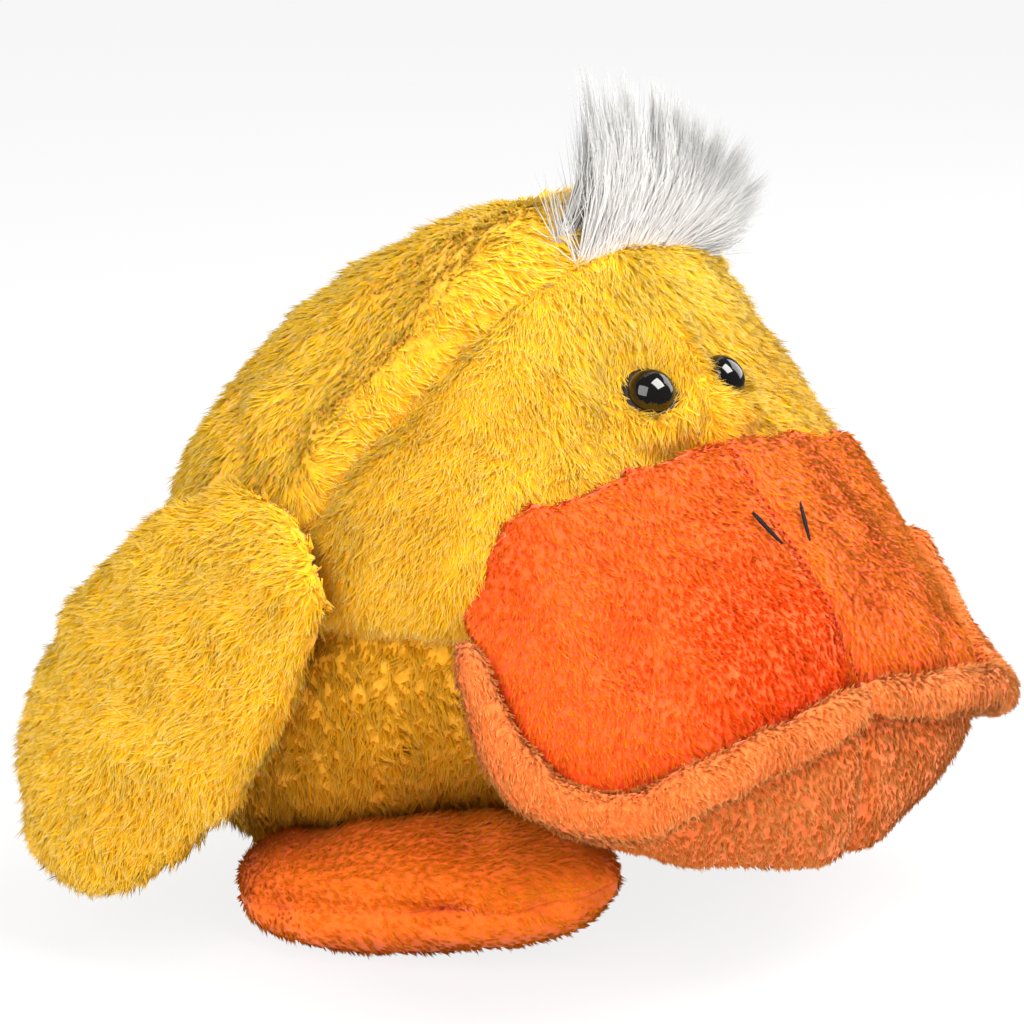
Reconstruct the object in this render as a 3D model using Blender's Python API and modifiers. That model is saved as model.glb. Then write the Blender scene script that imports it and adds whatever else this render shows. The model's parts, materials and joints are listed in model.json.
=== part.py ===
"""A sitting plush duck with a huge bill, built as its sewn and stuffed pieces.

The duck faces -Y and sits on the plane Z = 0. Its right side is -X. Every stuffed
form is a sphere primitive whose rings are set by a table of shares of named sizes.
The fabric panels are cut from the outside of each form, with the filling inside.
"""

import math

import bmesh
import bpy
from mathutils import Matrix, Vector
from mathutils.bvhtree import BVHTree

MM = 0.001

# Fabric, seams and clearances
PLUSH_THICKNESS = 4.0 * MM      # knitted backing with its pile pressed down
LIMB_PLUSH_THICKNESS = 2.0 * MM # where the wings and feet are pressed thin
FILLING_GAP = 0.5 * MM          # between a fabric panel and what fills it
SEAM_GAP = 0.4 * MM             # between two panels that meet at a seam
SEAT_GAP = 0.35 * MM            # between a sewn-on piece and what carries it
GUIDE_REACH = 600.0 * MM        # how far a cutting plane's box reaches
MERGE_REACH = 0.01 * MM         # points of a turned piece closer than this are one

# Body, measured from the middle of the floor under it
BODY_HEIGHT = 204.0 * MM
BODY_HALF_WIDTH = 100.0 * MM
BODY_FRONT = 90.0 * MM
BODY_REAR = 101.0 * MM
BODY_FLAT = 0.5 * MM            # how deep the underside is pressed flat
CREASE_HEIGHT = 94.0 * MM       # the neck crease, where the face overhangs the belly
SEAM_TOP_FORWARD = 48.0 * MM    # where the face meets the back on the crown
SEAM_LEAN = 27.3                # degrees that this seam leans forward
PELLET_LEVEL = 48.0 * MM        # top of the pellet bag in the seat

# Rows from the underside to the crown, as shares of the sizes above: height, half
# width, how far forward the widest line lies, front and rear from there, squareness.
BODY_SHARES = (
    (0.000, 0.00, -0.42, 0.00, 0.00, 2.0),
    (0.002, 0.45, -0.38, 0.48, 0.38, 2.0),
    (0.050, 0.66, -0.37, 0.50, 0.55, 2.1),
    (0.162, 0.84, -0.27, 0.64, 0.73, 2.2),
    (0.308, 0.97, -0.11, 0.80, 0.90, 2.3),
    (0.440, 1.00, -0.01, 0.90, 0.95, 2.5),
    (0.578, 0.97, 0.04, 0.96, 0.91, 2.6),
    (0.710, 0.81, 0.10, 0.72, 0.84, 2.6),
    (0.843, 0.59, 0.20, 0.47, 0.72, 2.4),
    (0.952, 0.38, 0.27, 0.24, 0.38, 2.3),
    (1.000, 0.00, 0.22, 0.00, 0.00, 2.0),
)
BODY_SIDES = 32
BODY_RINGS = 18

# Upper bill, a wide pillow over the lower face
BILL_HALF_WIDTH = 92.0 * MM
BILL_LENGTH = 80.0 * MM         # from its widest line to the middle of the lip
BILL_FORWARD = 50.0 * MM        # how far forward its widest line lies
LIP_LEVEL = 66.0 * MM
BILL_TOP_SHARE = 0.576          # of the height from the lip to the top of the body
BILL_TOP = LIP_LEVEL + BILL_TOP_SHARE * (BODY_HEIGHT - LIP_LEVEL)
LIP_THICKNESS = 13.0 * MM
LIP_SQUARENESS = 3.9
LIP_END_SHARE = 0.88            # of the quarter turn from the front to the side
LIP_SIDES = 10
LIP_RINGS = 28
LIP_END_RINGS = 6               # rings over which each end of the roll is rounded

# The lip's wave from the front round to the side, as shares: of the quarter turn, and
# of LIP_LEVEL that the lip rises over that level.
LIP_WAVE_SHARES = (
    (0.00, 0.180),
    (0.30, 0.100),
    (0.43, 0.030),
    (0.51, -0.045),
    (0.58, -0.068),
    (0.67, -0.010),
    (0.745, 0.150),
    (0.82, 0.460),
    (0.90, 0.560),
    (1.00, 0.580),
)

# Rows as on the body. The height is a share of the rise from LIP_LEVEL to BILL_TOP. The
# reaches are shares of BILL_LENGTH, and the widest line's place counts from BILL_FORWARD.
BILL_SHARES = (
    (-0.190, 0.00, 0.155, 0.00, 0.00, 2.2),
    (-0.165, 0.42, 0.155, 0.55, 0.20, 2.3),
    (-0.090, 0.78, 0.175, 0.70, 0.31, 2.6),
    (0.020, 0.97, 0.185, 0.80, 0.37, 3.2),
    (0.200, 0.94, 0.185, 0.785, 0.37, 3.0),
    (0.400, 0.89, 0.185, 0.695, 0.36, 2.4),
    (0.620, 0.82, 0.155, 0.56, 0.34, 2.1),
    (0.820, 0.69, 0.115, 0.41, 0.28, 2.1),
    (0.950, 0.46, 0.065, 0.365, 0.17, 2.1),
    (1.000, 0.00, 0.035, 0.00, 0.00, 2.0),
)
BILL_REAR_SQUARENESS = 2.0
BILL_SIDES = 28
BILL_RINGS = 14

# Lower bill, which hangs under the lip and comes to a gathered point at the front
JAW_BOTTOM = 32.0 * MM
JAW_TOP = 90.0 * MM
JAW_INSET = 10.0 * MM           # that each side lies inside the upper bill's
JAW_SETBACK = 4.0 * MM
JAW_HALF_WIDTH = BILL_HALF_WIDTH - JAW_INSET
JAW_LENGTH = BILL_LENGTH - JAW_SETBACK

# Rows as on the upper bill, with the rise from JAW_BOTTOM to JAW_TOP and JAW_LENGTH.
JAW_SHARES = (
    (0.00, 0.00, 0.862, 0.00, 0.00, 2.0),
    (0.05, 0.27, 0.792, 0.25, 0.18, 1.9),
    (0.14, 0.58, 0.622, 0.46, 0.32, 2.1),
    (0.26, 0.82, 0.422, 0.68, 0.42, 2.6),
    (0.41, 0.95, 0.242, 0.87, 0.48, 3.1),
    (0.58, 0.97, 0.142, 0.94, 0.46, 3.3),
    (0.74, 0.86, 0.122, 0.84, 0.42, 3.0),
    (0.93, 0.52, 0.122, 0.50, 0.35, 2.4),
    (1.00, 0.00, 0.142, 0.00, 0.00, 2.0),
)
JAW_SIDES = 24
JAW_RINGS = 12

# Safety eyes: a glossy dome on a shank, held by a washer behind the fabric
EYE_SPACING = 29.0 * MM
EYE_CLEARANCE = 1.0 * MM        # from the top of the bill to the eye's edge
EYE_DIAMETER = 16.0 * MM
EYE_RIM = 1.5 * MM              # height of the dome's straight edge
EYE_DOME = 5.5 * MM             # height of the dome over that edge
EYE_SINK = 2.0 * MM             # how deep the dome's back is pressed into the fabric
EYE_TURN_OUT = 14.0             # degrees that each eye looks to its own side
EYE_STEPS = 16
EYE_ARC_STEPS = 5
SHANK_DIAMETER = 4.2 * MM
SHANK_LENGTH = 8.5 * MM
SHANK_GAP = 0.35 * MM
WASHER_DIAMETER = 14.0 * MM
WASHER_THICKNESS = 1.6 * MM

# Nostrils, two satin stitches of black thread that lean together
NOSTRIL_TOP_SPACING = 22.0 * MM
NOSTRIL_BOTTOM_SPACING = 10.0 * MM
NOSTRIL_DROP = 19.5 * MM        # from the top of the bill
NOSTRIL_HEIGHT = 11.0 * MM
NOSTRIL_THICKNESS = 1.4 * MM
NOSTRIL_SIDES = 8
NOSTRIL_RINGS = 8

# Tuft of long white pile, sewn into the seam on the crown
TUFT_WIDTH = 44.0 * MM
TUFT_DEPTH = 14.0 * MM
TUFT_ROOT = 9.0 * MM            # how far the locks are one mass
LOCK_LENGTH = 48.0 * MM
LOCK_WIDTH = 12.0 * MM
LOCK_DEPTH = 9.0 * MM
LOCK_CURL = 4.0 * MM            # how far the tips bend forward
LOCK_SIDES = 8
LOCK_RINGS = 6

# The locks from the duck's right to its left: place as a share of the half width, lean
# to the left and lean forward in degrees, and length as a share of LOCK_LENGTH.
LOCK_ROWS = (
    (-1.00, -10.0, 0.0, 0.80),
    (-0.70, -5.0, -2.0, 1.00),
    (-0.35, -2.0, -4.0, 0.98),
    (0.00, 4.0, -2.0, 1.00),
    (0.35, 12.0, 0.0, 0.96),
    (0.70, 24.0, 6.0, 0.92),
    (1.00, 38.0, 14.0, 0.80),
)

# Rows from a lock's root to its tip, as shares: distance along it, and width.
LOCK_SHARES = (
    (-0.16, 0.00),
    (-0.05, 0.85),
    (0.16, 1.00),
    (0.42, 0.92),
    (0.68, 0.66),
    (0.90, 0.30),
    (1.00, 0.00),
)

# Wings, hung from the side seams. The right one is built, and the left one mirrors it.
WING_FORWARD_SHARE = 0.17       # of BODY_FRONT, to the middle of the root
WING_HEIGHT_SHARE = 0.62        # of BODY_HEIGHT
WING_ROOT_GAP = 0.7 * MM        # from the body to the hinge line
WING_SPREAD = 39.4 * MM         # from the root to the tip: outward, back and down
WING_SWEEP = 57.5 * MM
WING_DROP = 112.5 * MM
WING_ROOT_LINE = Vector((0.15, 0.85, 0.50))
WING_HALF_WIDTH = 42.0 * MM
WING_OUTER_SWELL = 18.5 * MM
WING_INNER_SWELL = 12.0 * MM

# Rows from the tip to the root, as shares: distance from the tip, half width, shift of
# the middle to the back edge, outer swell, inner swell; and squareness.
WING_SHARES = (
    (0.000, 0.00, 0.18, 0.00, 0.00, 2.0),
    (0.045, 0.47, 0.19, 0.50, 0.50, 2.0),
    (0.150, 0.78, 0.22, 0.82, 0.82, 2.0),
    (0.310, 0.97, 0.24, 1.00, 1.00, 2.0),
    (0.490, 1.00, 0.19, 1.00, 1.00, 2.0),
    (0.670, 0.91, 0.12, 0.86, 0.86, 2.0),
    (0.830, 0.78, 0.07, 0.60, 0.66, 2.1),
    (0.950, 0.60, 0.02, 0.36, 0.42, 2.3),
    (1.000, 0.00, 0.00, 0.00, 0.00, 2.0),
)
WING_SIDES = 16
WING_RINGS = 12

# Feet, pads sewn under the belly. The right one is built, and the left one mirrors it.
FOOT_ACROSS_SHARE = 0.59        # of BODY_HALF_WIDTH, to the foot's middle
FOOT_FORWARD_SHARE = 0.29       # of BODY_FRONT
FOOT_TOE_IN = 28.0              # degrees that the toes turn to the middle
FOOT_TOE_UP = 6.0               # degrees
FOOT_LENGTH = 112.0 * MM
FOOT_HALF_WIDTH = 31.0 * MM
FOOT_THICKNESS = 35.0 * MM
FOOT_FLAT = 0.5 * MM            # how deep the sole is pressed flat
FOOT_HINGE_INSET = 42.5 * MM    # from the foot's middle to the seam it hangs from
FOOT_HINGE_HEIGHT = 3.0 * MM
FOOT_HINGE_TURN = 26.0          # degrees from straight across to this seam

# Rows from the heel to the toe, as shares: distance from the middle, half width, swell
# of the sole and of the top; and squareness.
FOOT_SHARES = (
    (-1.00, 0.00, 0.00, 0.00, 2.0),
    (-0.87, 0.60, 0.62, 0.60, 2.0),
    (-0.52, 0.93, 0.92, 0.92, 2.1),
    (0.00, 1.00, 1.00, 1.00, 2.1),
    (0.52, 0.95, 0.84, 0.76, 2.1),
    (0.87, 0.62, 0.54, 0.46, 2.0),
    (1.00, 0.00, 0.00, 0.00, 2.0),
)
FOOT_SIDES = 16
FOOT_RINGS = 12

# Colour, roughness and metallic value of what the pieces are made of
FINISHES = {
    "yellow_plush": ((0.86, 0.55, 0.06), 0.95, 0.0),
    "bill_plush": ((0.90, 0.20, 0.03), 0.95, 0.0),
    "lip_plush": ((0.90, 0.30, 0.10), 0.95, 0.0),
    "foot_plush": ((0.87, 0.21, 0.03), 0.95, 0.0),
    "white_pile": ((0.92, 0.92, 0.93), 0.90, 0.0),
    "black_plastic": ((0.01, 0.01, 0.012), 0.08, 0.0),
    "washer_plastic": ((0.75, 0.75, 0.72), 0.45, 0.0),
    "black_thread": ((0.015, 0.013, 0.012), 0.70, 0.0),
    "filling": ((0.93, 0.93, 0.92), 0.98, 0.0),
    "bag_cloth": ((0.78, 0.76, 0.70), 0.80, 0.0),
}

FORWARD = Vector((0.0, -1.0, 0.0))
UP = Vector((0.0, 0.0, 1.0))
ACROSS = Vector((1.0, 0.0, 0.0))


def clear_scene():
    """Empties the scene and makes collections for the parts, cutters and locks."""
    for old in list(bpy.data.objects):
        bpy.data.objects.remove(old, do_unlink=True)
    for name in ("plush_duck", "cutters", "locks"):
        made = bpy.data.collections.new(name)
        bpy.context.scene.collection.children.link(made)


def piece(name, mesh, kind):
    """Makes a part of the duck, in its own material of one of the finishes."""
    node = bpy.data.objects.new(name, mesh)
    bpy.data.collections["plush_duck"].objects.link(node)
    colour, roughness, metallic = FINISHES[kind]
    made = bpy.data.materials.new(name + "_" + kind)
    made.use_nodes = True
    shader = made.node_tree.nodes["Principled BSDF"]
    shader.inputs["Base Color"].default_value = (*colour, 1.0)
    shader.inputs["Roughness"].default_value = roughness
    shader.inputs["Metallic"].default_value = metallic
    mesh.materials.clear()
    mesh.materials.append(made)
    mesh.shade_smooth()
    node["finish"] = kind
    return node


def cutter(name, mesh, group="cutters"):
    """Makes a guide solid that only cuts other pieces, or is joined to one."""
    node = bpy.data.objects.new(name, mesh)
    node.hide_render = True
    node.display_type = "WIRE"
    bpy.data.collections[group].objects.link(node)
    return node


def boolean(node, operation, *others):
    """Adds a Boolean with the exact solver for each of the other solids."""
    for other in others:
        step = node.modifiers.new(operation.lower() + "_" + other.name, "BOOLEAN")
        step.operation = operation
        step.solver = "EXACT"
        step.object = other
    return node


def settle(node):
    """Puts a piece's modifiers into its mesh."""
    shown = node.evaluated_get(bpy.context.evaluated_depsgraph_get())
    mesh = bpy.data.meshes.new_from_object(shown)
    mesh.name = node.name
    node.modifiers.clear()
    node.data = mesh
    return node


def twin(node):
    """Settles a right piece and makes its left twin."""
    mesh = settle(node).data.copy()
    mesh.transform(Matrix.Scale(-1.0, 4, ACROSS))
    mesh.flip_normals()
    return piece(node.name.replace("right", "left"), mesh, node["finish"])


def hang(name, point, pieces):
    """Parents pieces to an empty on the line of their joint."""
    hinge = bpy.data.objects.new(name, None)
    hinge.location = point
    bpy.data.collections["plush_duck"].objects.link(hinge)
    for node in pieces:
        node.parent = hinge
        node.matrix_parent_inverse = Matrix.Translation(-Vector(point))


def smooth_row(rows, share, odd=()):
    """Values between evenly spaced rows, on a smooth curve through them.

    Past an end the rows are reflected, and the columns in odd change their sign there.
    """
    last = len(rows) - 1
    place = min(max(share, 0.0), 1.0) * last
    low = min(int(place), last - 1)
    step = place - low

    def row(index):
        if 0 <= index <= last:
            return rows[index]
        inside = rows[-index] if index < 0 else rows[2 * last - index]
        return tuple(-v if i in odd else v for i, v in enumerate(inside))

    values = []
    for before, start, end, after in zip(*(row(low + i) for i in (-1, 0, 1, 2))):
        slope = end - before
        bend = 2 * before - 5 * start + 4 * end - after
        twist = 3 * (start - end) + after - before
        values.append(start + 0.5 * step * (slope + step * (bend + step * twist)))
    return values


def rounded(turn, squareness):
    """The point of a unit outline at a turn. It is round at 2, and squarer above."""
    across, along = math.cos(turn), math.sin(turn)
    power = 2.0 / squareness
    return (
        math.copysign(abs(across) ** power, across),
        math.copysign(abs(along) ** power, along),
    )


def stuffed(name, sides, rings, place, even=False):
    """A sphere primitive with each vertex where place(turn, share) says.

    The turn goes round from +X, and the share goes from the bottom pole to the top. An
    even form has a left half that mirrors its right half, face by face.
    """
    form = bmesh.new()
    bmesh.ops.create_uvsphere(form, u_segments=sides, v_segments=rings, radius=1.0)
    for vertex in form.verts:
        share = 0.5 + math.asin(max(-1.0, min(1.0, vertex.co.z))) / math.pi
        turn = math.atan2(vertex.co.y, vertex.co.x)
        vertex.co = place(turn, share)
    if form.calc_volume(signed=True) < 0.0:
        bmesh.ops.reverse_faces(form, faces=form.faces)
    bmesh.ops.triangulate(form, faces=form.faces)
    if even:
        whole = form.verts[:] + form.edges[:] + form.faces[:]
        bmesh.ops.symmetrize(form, input=whole, direction="-X", dist=MERGE_REACH)
    mesh = bpy.data.meshes.new(name)
    form.to_mesh(mesh)
    form.free()
    return mesh


def grown(mesh, distance, name):
    """A copy of a form with its surface moved out, or in if distance is negative."""
    copy = mesh.copy()
    copy.name = name
    normals = [vertex.normal.copy() for vertex in mesh.vertices]
    for vertex, normal in zip(copy.vertices, normals):
        vertex.co += normal * distance
    return copy


def skin(mesh, thickness, name):
    """A form as a hollow skin: its outside, and a turned copy inside that."""
    form = bmesh.new()
    form.from_mesh(mesh)
    inside = grown(mesh, -thickness, name + "_inside")
    inside.flip_normals()
    form.from_mesh(inside)
    bpy.data.meshes.remove(inside)
    both = bpy.data.meshes.new(name)
    form.to_mesh(both)
    form.free()
    return both


def side_of(name, point, outward):
    """A cutter that fills the side of a plane which outward points to."""
    form = bmesh.new()
    bmesh.ops.create_cube(form, size=GUIDE_REACH)
    turn = Vector(outward).to_track_quat("Z", "Y").to_matrix().to_4x4()
    shift = Matrix.Translation(Vector((0.0, 0.0, GUIDE_REACH / 2)))
    form.transform(Matrix.Translation(Vector(point)) @ turn @ shift)
    mesh = bpy.data.meshes.new(name)
    form.to_mesh(mesh)
    form.free()
    return cutter(name, mesh)


def two_sides(name, point, outward, gap):
    """Cutters for the two sides of a seam plane, a gap apart. The first is outward."""
    outward = Vector(outward).normalized()
    step = outward * gap / 2
    return (
        side_of(name + "_front", Vector(point) + step, outward),
        side_of(name + "_back", Vector(point) - step, -outward),
    )


def tree_of(mesh):
    """What a ray or a nearest point is tested against."""
    return BVHTree.FromPolygons(
        [vertex.co.copy() for vertex in mesh.vertices],
        [tuple(face.vertices) for face in mesh.polygons],
    )


def seen_from_front(tree, across, height):
    """The point and outward direction where a form is met from straight ahead."""
    point, normal, _, _ = tree.ray_cast(Vector((across, -GUIDE_REACH, height)), -FORWARD)
    return point, normal


def body_place(turn, share):
    """A point of the body's outside."""
    rise, width, middle, front, rear, square = smooth_row(BODY_SHARES, share, (1, 3, 4))
    across, along = rounded(turn, square)
    reach = front * BODY_FRONT if along < 0 else rear * BODY_REAR
    return Vector((
        across * width * BODY_HALF_WIDTH,
        along * reach - middle * BODY_FRONT,
        rise * (BODY_HEIGHT + BODY_FLAT) - BODY_FLAT,
    ))


def lip_rise(quarter):
    """The lip's height over LIP_LEVEL at a share of the quarter turn from the front."""
    shares = LIP_WAVE_SHARES
    quarter = min(abs(quarter), 1.0)
    for (start, low), (end, high) in zip(shares, shares[1:]):
        if quarter <= end:
            part = (quarter - start) / (end - start)
            return LIP_LEVEL * (low + (high - low) * part * part * (3 - 2 * part))
    return LIP_LEVEL * shares[-1][1]


def quarter_of(across, along):
    """The share of the quarter turn from the front to a side, seen from above."""
    return math.atan2(abs(across), -(along + BILL_FORWARD)) / (math.pi / 2)


def lip_point(quarter):
    """The middle of the lip roll. The quarter is negative on the right side."""
    turn = quarter * math.pi / 2
    direction = Vector((math.sin(turn), -math.cos(turn)))
    wide = abs(direction.x / BILL_HALF_WIDTH) ** LIP_SQUARENESS
    long = abs(direction.y / BILL_LENGTH) ** LIP_SQUARENESS
    reach = (wide + long) ** (-1.0 / LIP_SQUARENESS)
    across, along = direction * reach
    return Vector((across, along - BILL_FORWARD, LIP_LEVEL + lip_rise(quarter)))


def bill_place(turn, share):
    """A point of the upper bill's outside, whose widest ring follows the lip."""
    rise, width, middle, front, rear, square = smooth_row(BILL_SHARES, share, (1, 3, 4))
    across, along = rounded(turn, square if math.sin(turn) < 0 else BILL_REAR_SQUARENESS)
    x = across * width * BILL_HALF_WIDTH
    y = (along * (front if along < 0 else rear) - middle) * BILL_LENGTH - BILL_FORWARD
    follow = 1.0 - max(0.0, rise)
    level = LIP_LEVEL + rise * (BILL_TOP - LIP_LEVEL)
    return Vector((x, y, level + follow * lip_rise(quarter_of(x, y))))


def jaw_place(turn, share):
    """A point of the lower bill's outside, which hangs from the lip."""
    rise, width, middle, front, rear, square = smooth_row(JAW_SHARES, share, (1, 3, 4))
    across, along = rounded(turn, square if math.sin(turn) < 0 else BILL_REAR_SQUARENESS)
    x = across * width * JAW_HALF_WIDTH
    y = (along * (front if along < 0 else rear) - middle) * JAW_LENGTH - BILL_FORWARD
    level = JAW_BOTTOM + rise * (JAW_TOP - JAW_BOTTOM)
    follow = min(1.0, (level - JAW_BOTTOM) / (LIP_LEVEL - JAW_BOTTOM))
    return Vector((x, y, level + follow * lip_rise(quarter_of(x, y))))


def lip_place(turn, share):
    """A point of the lip roll, a tube along the lip with round ends."""
    quarter = LIP_END_SHARE * (2 * share - 1)
    step = 0.5 / LIP_RINGS
    ahead = lip_point(quarter + step) - lip_point(quarter - step)
    side = ahead.cross(UP).normalized()
    top = side.cross(ahead).normalized()
    radius = LIP_THICKNESS / 2 * min(1.0, math.sin(share * math.pi) * LIP_RINGS / LIP_END_RINGS)
    return lip_point(quarter) + radius * (math.cos(turn) * side + math.sin(turn) * top)


def make_body(body, crown):
    """The body's panels, its filling and the pellet bag in its seat."""
    hide = skin(body, PLUSH_THICKNESS, "body_skin")
    lean = math.radians(SEAM_LEAN)
    ahead = Vector((0.0, -math.cos(lean), -math.sin(lean)))
    front, back = two_sides("side_seam", crown, ahead, SEAM_GAP)
    right = side_of("centre_seam", ACROSS * -SEAM_GAP / 2, -ACROSS)
    floor = side_of("floor", Vector(), UP)
    above, below = two_sides("neck_crease", UP * CREASE_HEIGHT, UP, SEAM_GAP)

    for name, keep in (
        ("face_panel_right", (right, front, above)),
        ("back_panel_right", (right, back, floor)),
        ("belly_panel", (front, below, floor)),
    ):
        boolean(piece(name, hide.copy(), "yellow_plush"), "INTERSECT", *keep)
    bpy.data.meshes.remove(hide)
    twin(bpy.data.objects["back_panel_right"])
    core = grown(body, -PLUSH_THICKNESS - FILLING_GAP, "body_core")
    high, low = two_sides("pellet_level", UP * PELLET_LEVEL, UP, SEAM_GAP)
    boolean(piece("body_filling", core, "filling"), "INTERSECT", high)
    boolean(piece("pellet_bag", core.copy(), "bag_cloth"), "INTERSECT", low)


def make_bill(body):
    """Both bills and the lip roll between them, cut by what they are sewn to."""
    face = cutter("face_clearance", grown(body, SEAT_GAP, "face_clearance"))
    bill = stuffed("bill", BILL_SIDES, BILL_RINGS, bill_place, even=True)
    over = cutter("bill_clearance", grown(bill, SEAT_GAP, "bill_clearance"))
    jaw = stuffed("jaw", JAW_SIDES, JAW_RINGS, jaw_place, even=True)
    under = cutter("jaw_clearance", grown(jaw, SEAT_GAP, "jaw_clearance"))
    lip = stuffed("lip", LIP_SIDES, LIP_RINGS, lip_place, even=True)
    half = bpy.data.objects["centre_seam"]
    inset = -PLUSH_THICKNESS - FILLING_GAP
    for name, mesh, kind, cuts in (
        ("upper_bill_right", skin(bill, PLUSH_THICKNESS, "bill_skin"), "bill_plush", (face,)),
        ("lower_bill_right", skin(jaw, PLUSH_THICKNESS, "jaw_skin"), "lip_plush", (face, over)),
        ("lip_roll_right", lip, "lip_plush", (under, over, face)),
    ):
        node = boolean(piece(name, mesh, kind), "INTERSECT", half)
        twin(boolean(node, "DIFFERENCE", *cuts))
    filling = piece("upper_bill_filling", grown(bill, inset, "bill_core"), "filling")
    boolean(filling, "DIFFERENCE", face)
    filling = piece("lower_bill_filling", grown(jaw, inset, "jaw_core"), "filling")
    boolean(filling, "DIFFERENCE", face, over)
    return bill


def turned(name, outline, kind, closed=False):
    """A piece turned from an outline of radius and height, top first, round Z."""
    form = bmesh.new()
    ring = [form.verts.new((radius, 0.0, height)) for radius, height in outline]
    for start, end in zip(ring, ring[1:] + ring[:1] if closed else ring[1:]):
        form.edges.new((start, end))
    mesh = bpy.data.meshes.new(name)
    form.to_mesh(mesh)
    form.free()
    node = piece(name, mesh, kind)
    screw = node.modifiers.new("turn", "SCREW")
    screw.steps = EYE_STEPS
    screw.render_steps = EYE_STEPS
    screw.use_merge_vertices = True
    screw.merge_threshold = MERGE_REACH
    return node


def peg(name, diameter, top, bottom, place):
    """A round cutter from top to bottom along the Z axis of place."""
    form = bmesh.new()
    bmesh.ops.create_cone(
        form,
        cap_ends=True,
        segments=EYE_STEPS,
        radius1=diameter / 2,
        radius2=diameter / 2,
        depth=top - bottom,
    )
    form.transform(place @ Matrix.Translation((0.0, 0.0, (top + bottom) / 2)))
    mesh = bpy.data.meshes.new(name)
    form.to_mesh(mesh)
    form.free()
    return cutter(name, mesh)


def make_eye(side, sign, face):
    """An eye on its shank, its washer, and the holes that they sit in."""
    height = BILL_TOP + EYE_CLEARANCE + EYE_DIAMETER / 2
    point, _ = seen_from_front(face, sign * EYE_SPACING / 2, height)
    _, outward = seen_from_front(face, 0.0, height)
    outward.x = 0.0
    turn = Matrix.Rotation(sign * math.radians(EYE_TURN_OUT), 4, UP)
    outward = (turn @ outward).normalized()
    place = Matrix.Translation(point) @ outward.to_track_quat("Z", "Y").to_matrix().to_4x4()
    radius = EYE_DIAMETER / 2
    back = -EYE_SINK
    outline = [
        (radius * math.sin(step), back + EYE_RIM + EYE_DOME * math.cos(step))
        for step in (i * math.pi / 2 / EYE_ARC_STEPS for i in range(EYE_ARC_STEPS + 1))
    ]
    outline += [
        (radius, back),
        (SHANK_DIAMETER / 2, back),
        (SHANK_DIAMETER / 2, back - SHANK_LENGTH),
        (0.0, back - SHANK_LENGTH),
    ]
    turned("eye_" + side, outline, "black_plastic").matrix_world = place
    bore = SHANK_DIAMETER / 2 + SHANK_GAP
    top = -PLUSH_THICKNESS - SEAT_GAP
    washer = [
        (bore, top),
        (WASHER_DIAMETER / 2, top),
        (WASHER_DIAMETER / 2, top - WASHER_THICKNESS),
        (bore, top - WASHER_THICKNESS),
    ]
    turned("eye_washer_" + side, washer, "washer_plastic", closed=True).matrix_world = place
    socket = peg("socket_" + side, EYE_DIAMETER + 2 * SEAT_GAP, EYE_DIAMETER, back - SEAT_GAP, place)
    deep = back - SHANK_LENGTH - SEAT_GAP
    hole = peg("hole_" + side, 2 * bore, EYE_DIAMETER, deep, place)
    seat = top - WASHER_THICKNESS - SEAT_GAP
    wide = WASHER_DIAMETER + 2 * SEAT_GAP
    pocket = peg("pocket_" + side, wide, EYE_DIAMETER, seat, place)
    recess = peg("recess_" + side, wide, top + SEAT_GAP, seat, place)
    boolean(bpy.data.objects["body_filling"], "DIFFERENCE", pocket, hole)
    if side == "right":
        twin(boolean(bpy.data.objects["face_panel_right"], "DIFFERENCE", socket, hole, recess))


def make_nostril(side, sign, bill):
    """A satin stitch that lies on the upper bill."""
    lift = NOSTRIL_THICKNESS / 2 + SEAT_GAP

    def place(turn, share):
        spread = NOSTRIL_BOTTOM_SPACING + share * (NOSTRIL_TOP_SPACING - NOSTRIL_BOTTOM_SPACING)
        height = BILL_TOP - NOSTRIL_DROP - (1 - share) * NOSTRIL_HEIGHT
        point, outward = seen_from_front(bill, sign * spread / 2, height)
        side_way = UP.cross(outward).normalized()
        radius = NOSTRIL_THICKNESS / 2 * math.sin(share * math.pi) ** 0.5
        ring = math.cos(turn) * side_way + math.sin(turn) * outward
        return point + lift * outward + radius * ring

    mesh = stuffed("nostril_" + side, NOSTRIL_SIDES, NOSTRIL_RINGS, place)
    piece("nostril_stitch_" + side, mesh, "black_thread")


def make_tuft(root):
    """The tuft, a row of locks that are one mass at the root."""
    reach = (TUFT_WIDTH - LOCK_WIDTH) / 2

    def base_place(turn, share):
        ring = math.sin(share * math.pi)
        return root + Vector((
            math.cos(turn) * ring * TUFT_WIDTH / 2,
            math.sin(turn) * ring * TUFT_DEPTH / 2,
            TUFT_ROOT * (2 * share - 1),
        ))

    tuft = piece("tuft", stuffed("tuft", LOCK_SIDES * 2, LOCK_RINGS, base_place), "white_pile")
    for index, (side, fan, lean, long) in enumerate(LOCK_ROWS):
        fan = Matrix.Rotation(math.radians(fan), 4, -FORWARD)
        lean = Matrix.Rotation(math.radians(lean), 4, ACROSS)
        start = root + ACROSS * side * reach
        length = LOCK_LENGTH * long

        def lock_place(turn, share, start=start, turned_by=fan @ lean, length=length):
            along, width = smooth_row(LOCK_SHARES, share, (1,))
            bend = LOCK_CURL * max(0.0, along) ** 2
            local = Vector((
                math.cos(turn) * width * LOCK_WIDTH / 2,
                math.sin(turn) * width * LOCK_DEPTH / 2 - bend,
                along * length,
            ))
            return start + turned_by @ local

        name = "lock_%d" % (index + 1)
        cutter(name, stuffed(name, LOCK_SIDES, LOCK_RINGS, lock_place), "locks")
    joined = tuft.modifiers.new("join_locks", "BOOLEAN")
    joined.operation = "UNION"
    joined.solver = "EXACT"
    joined.operand_type = "COLLECTION"
    joined.collection = bpy.data.collections["locks"]
    boolean(tuft, "DIFFERENCE", bpy.data.objects["face_clearance"])


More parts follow.
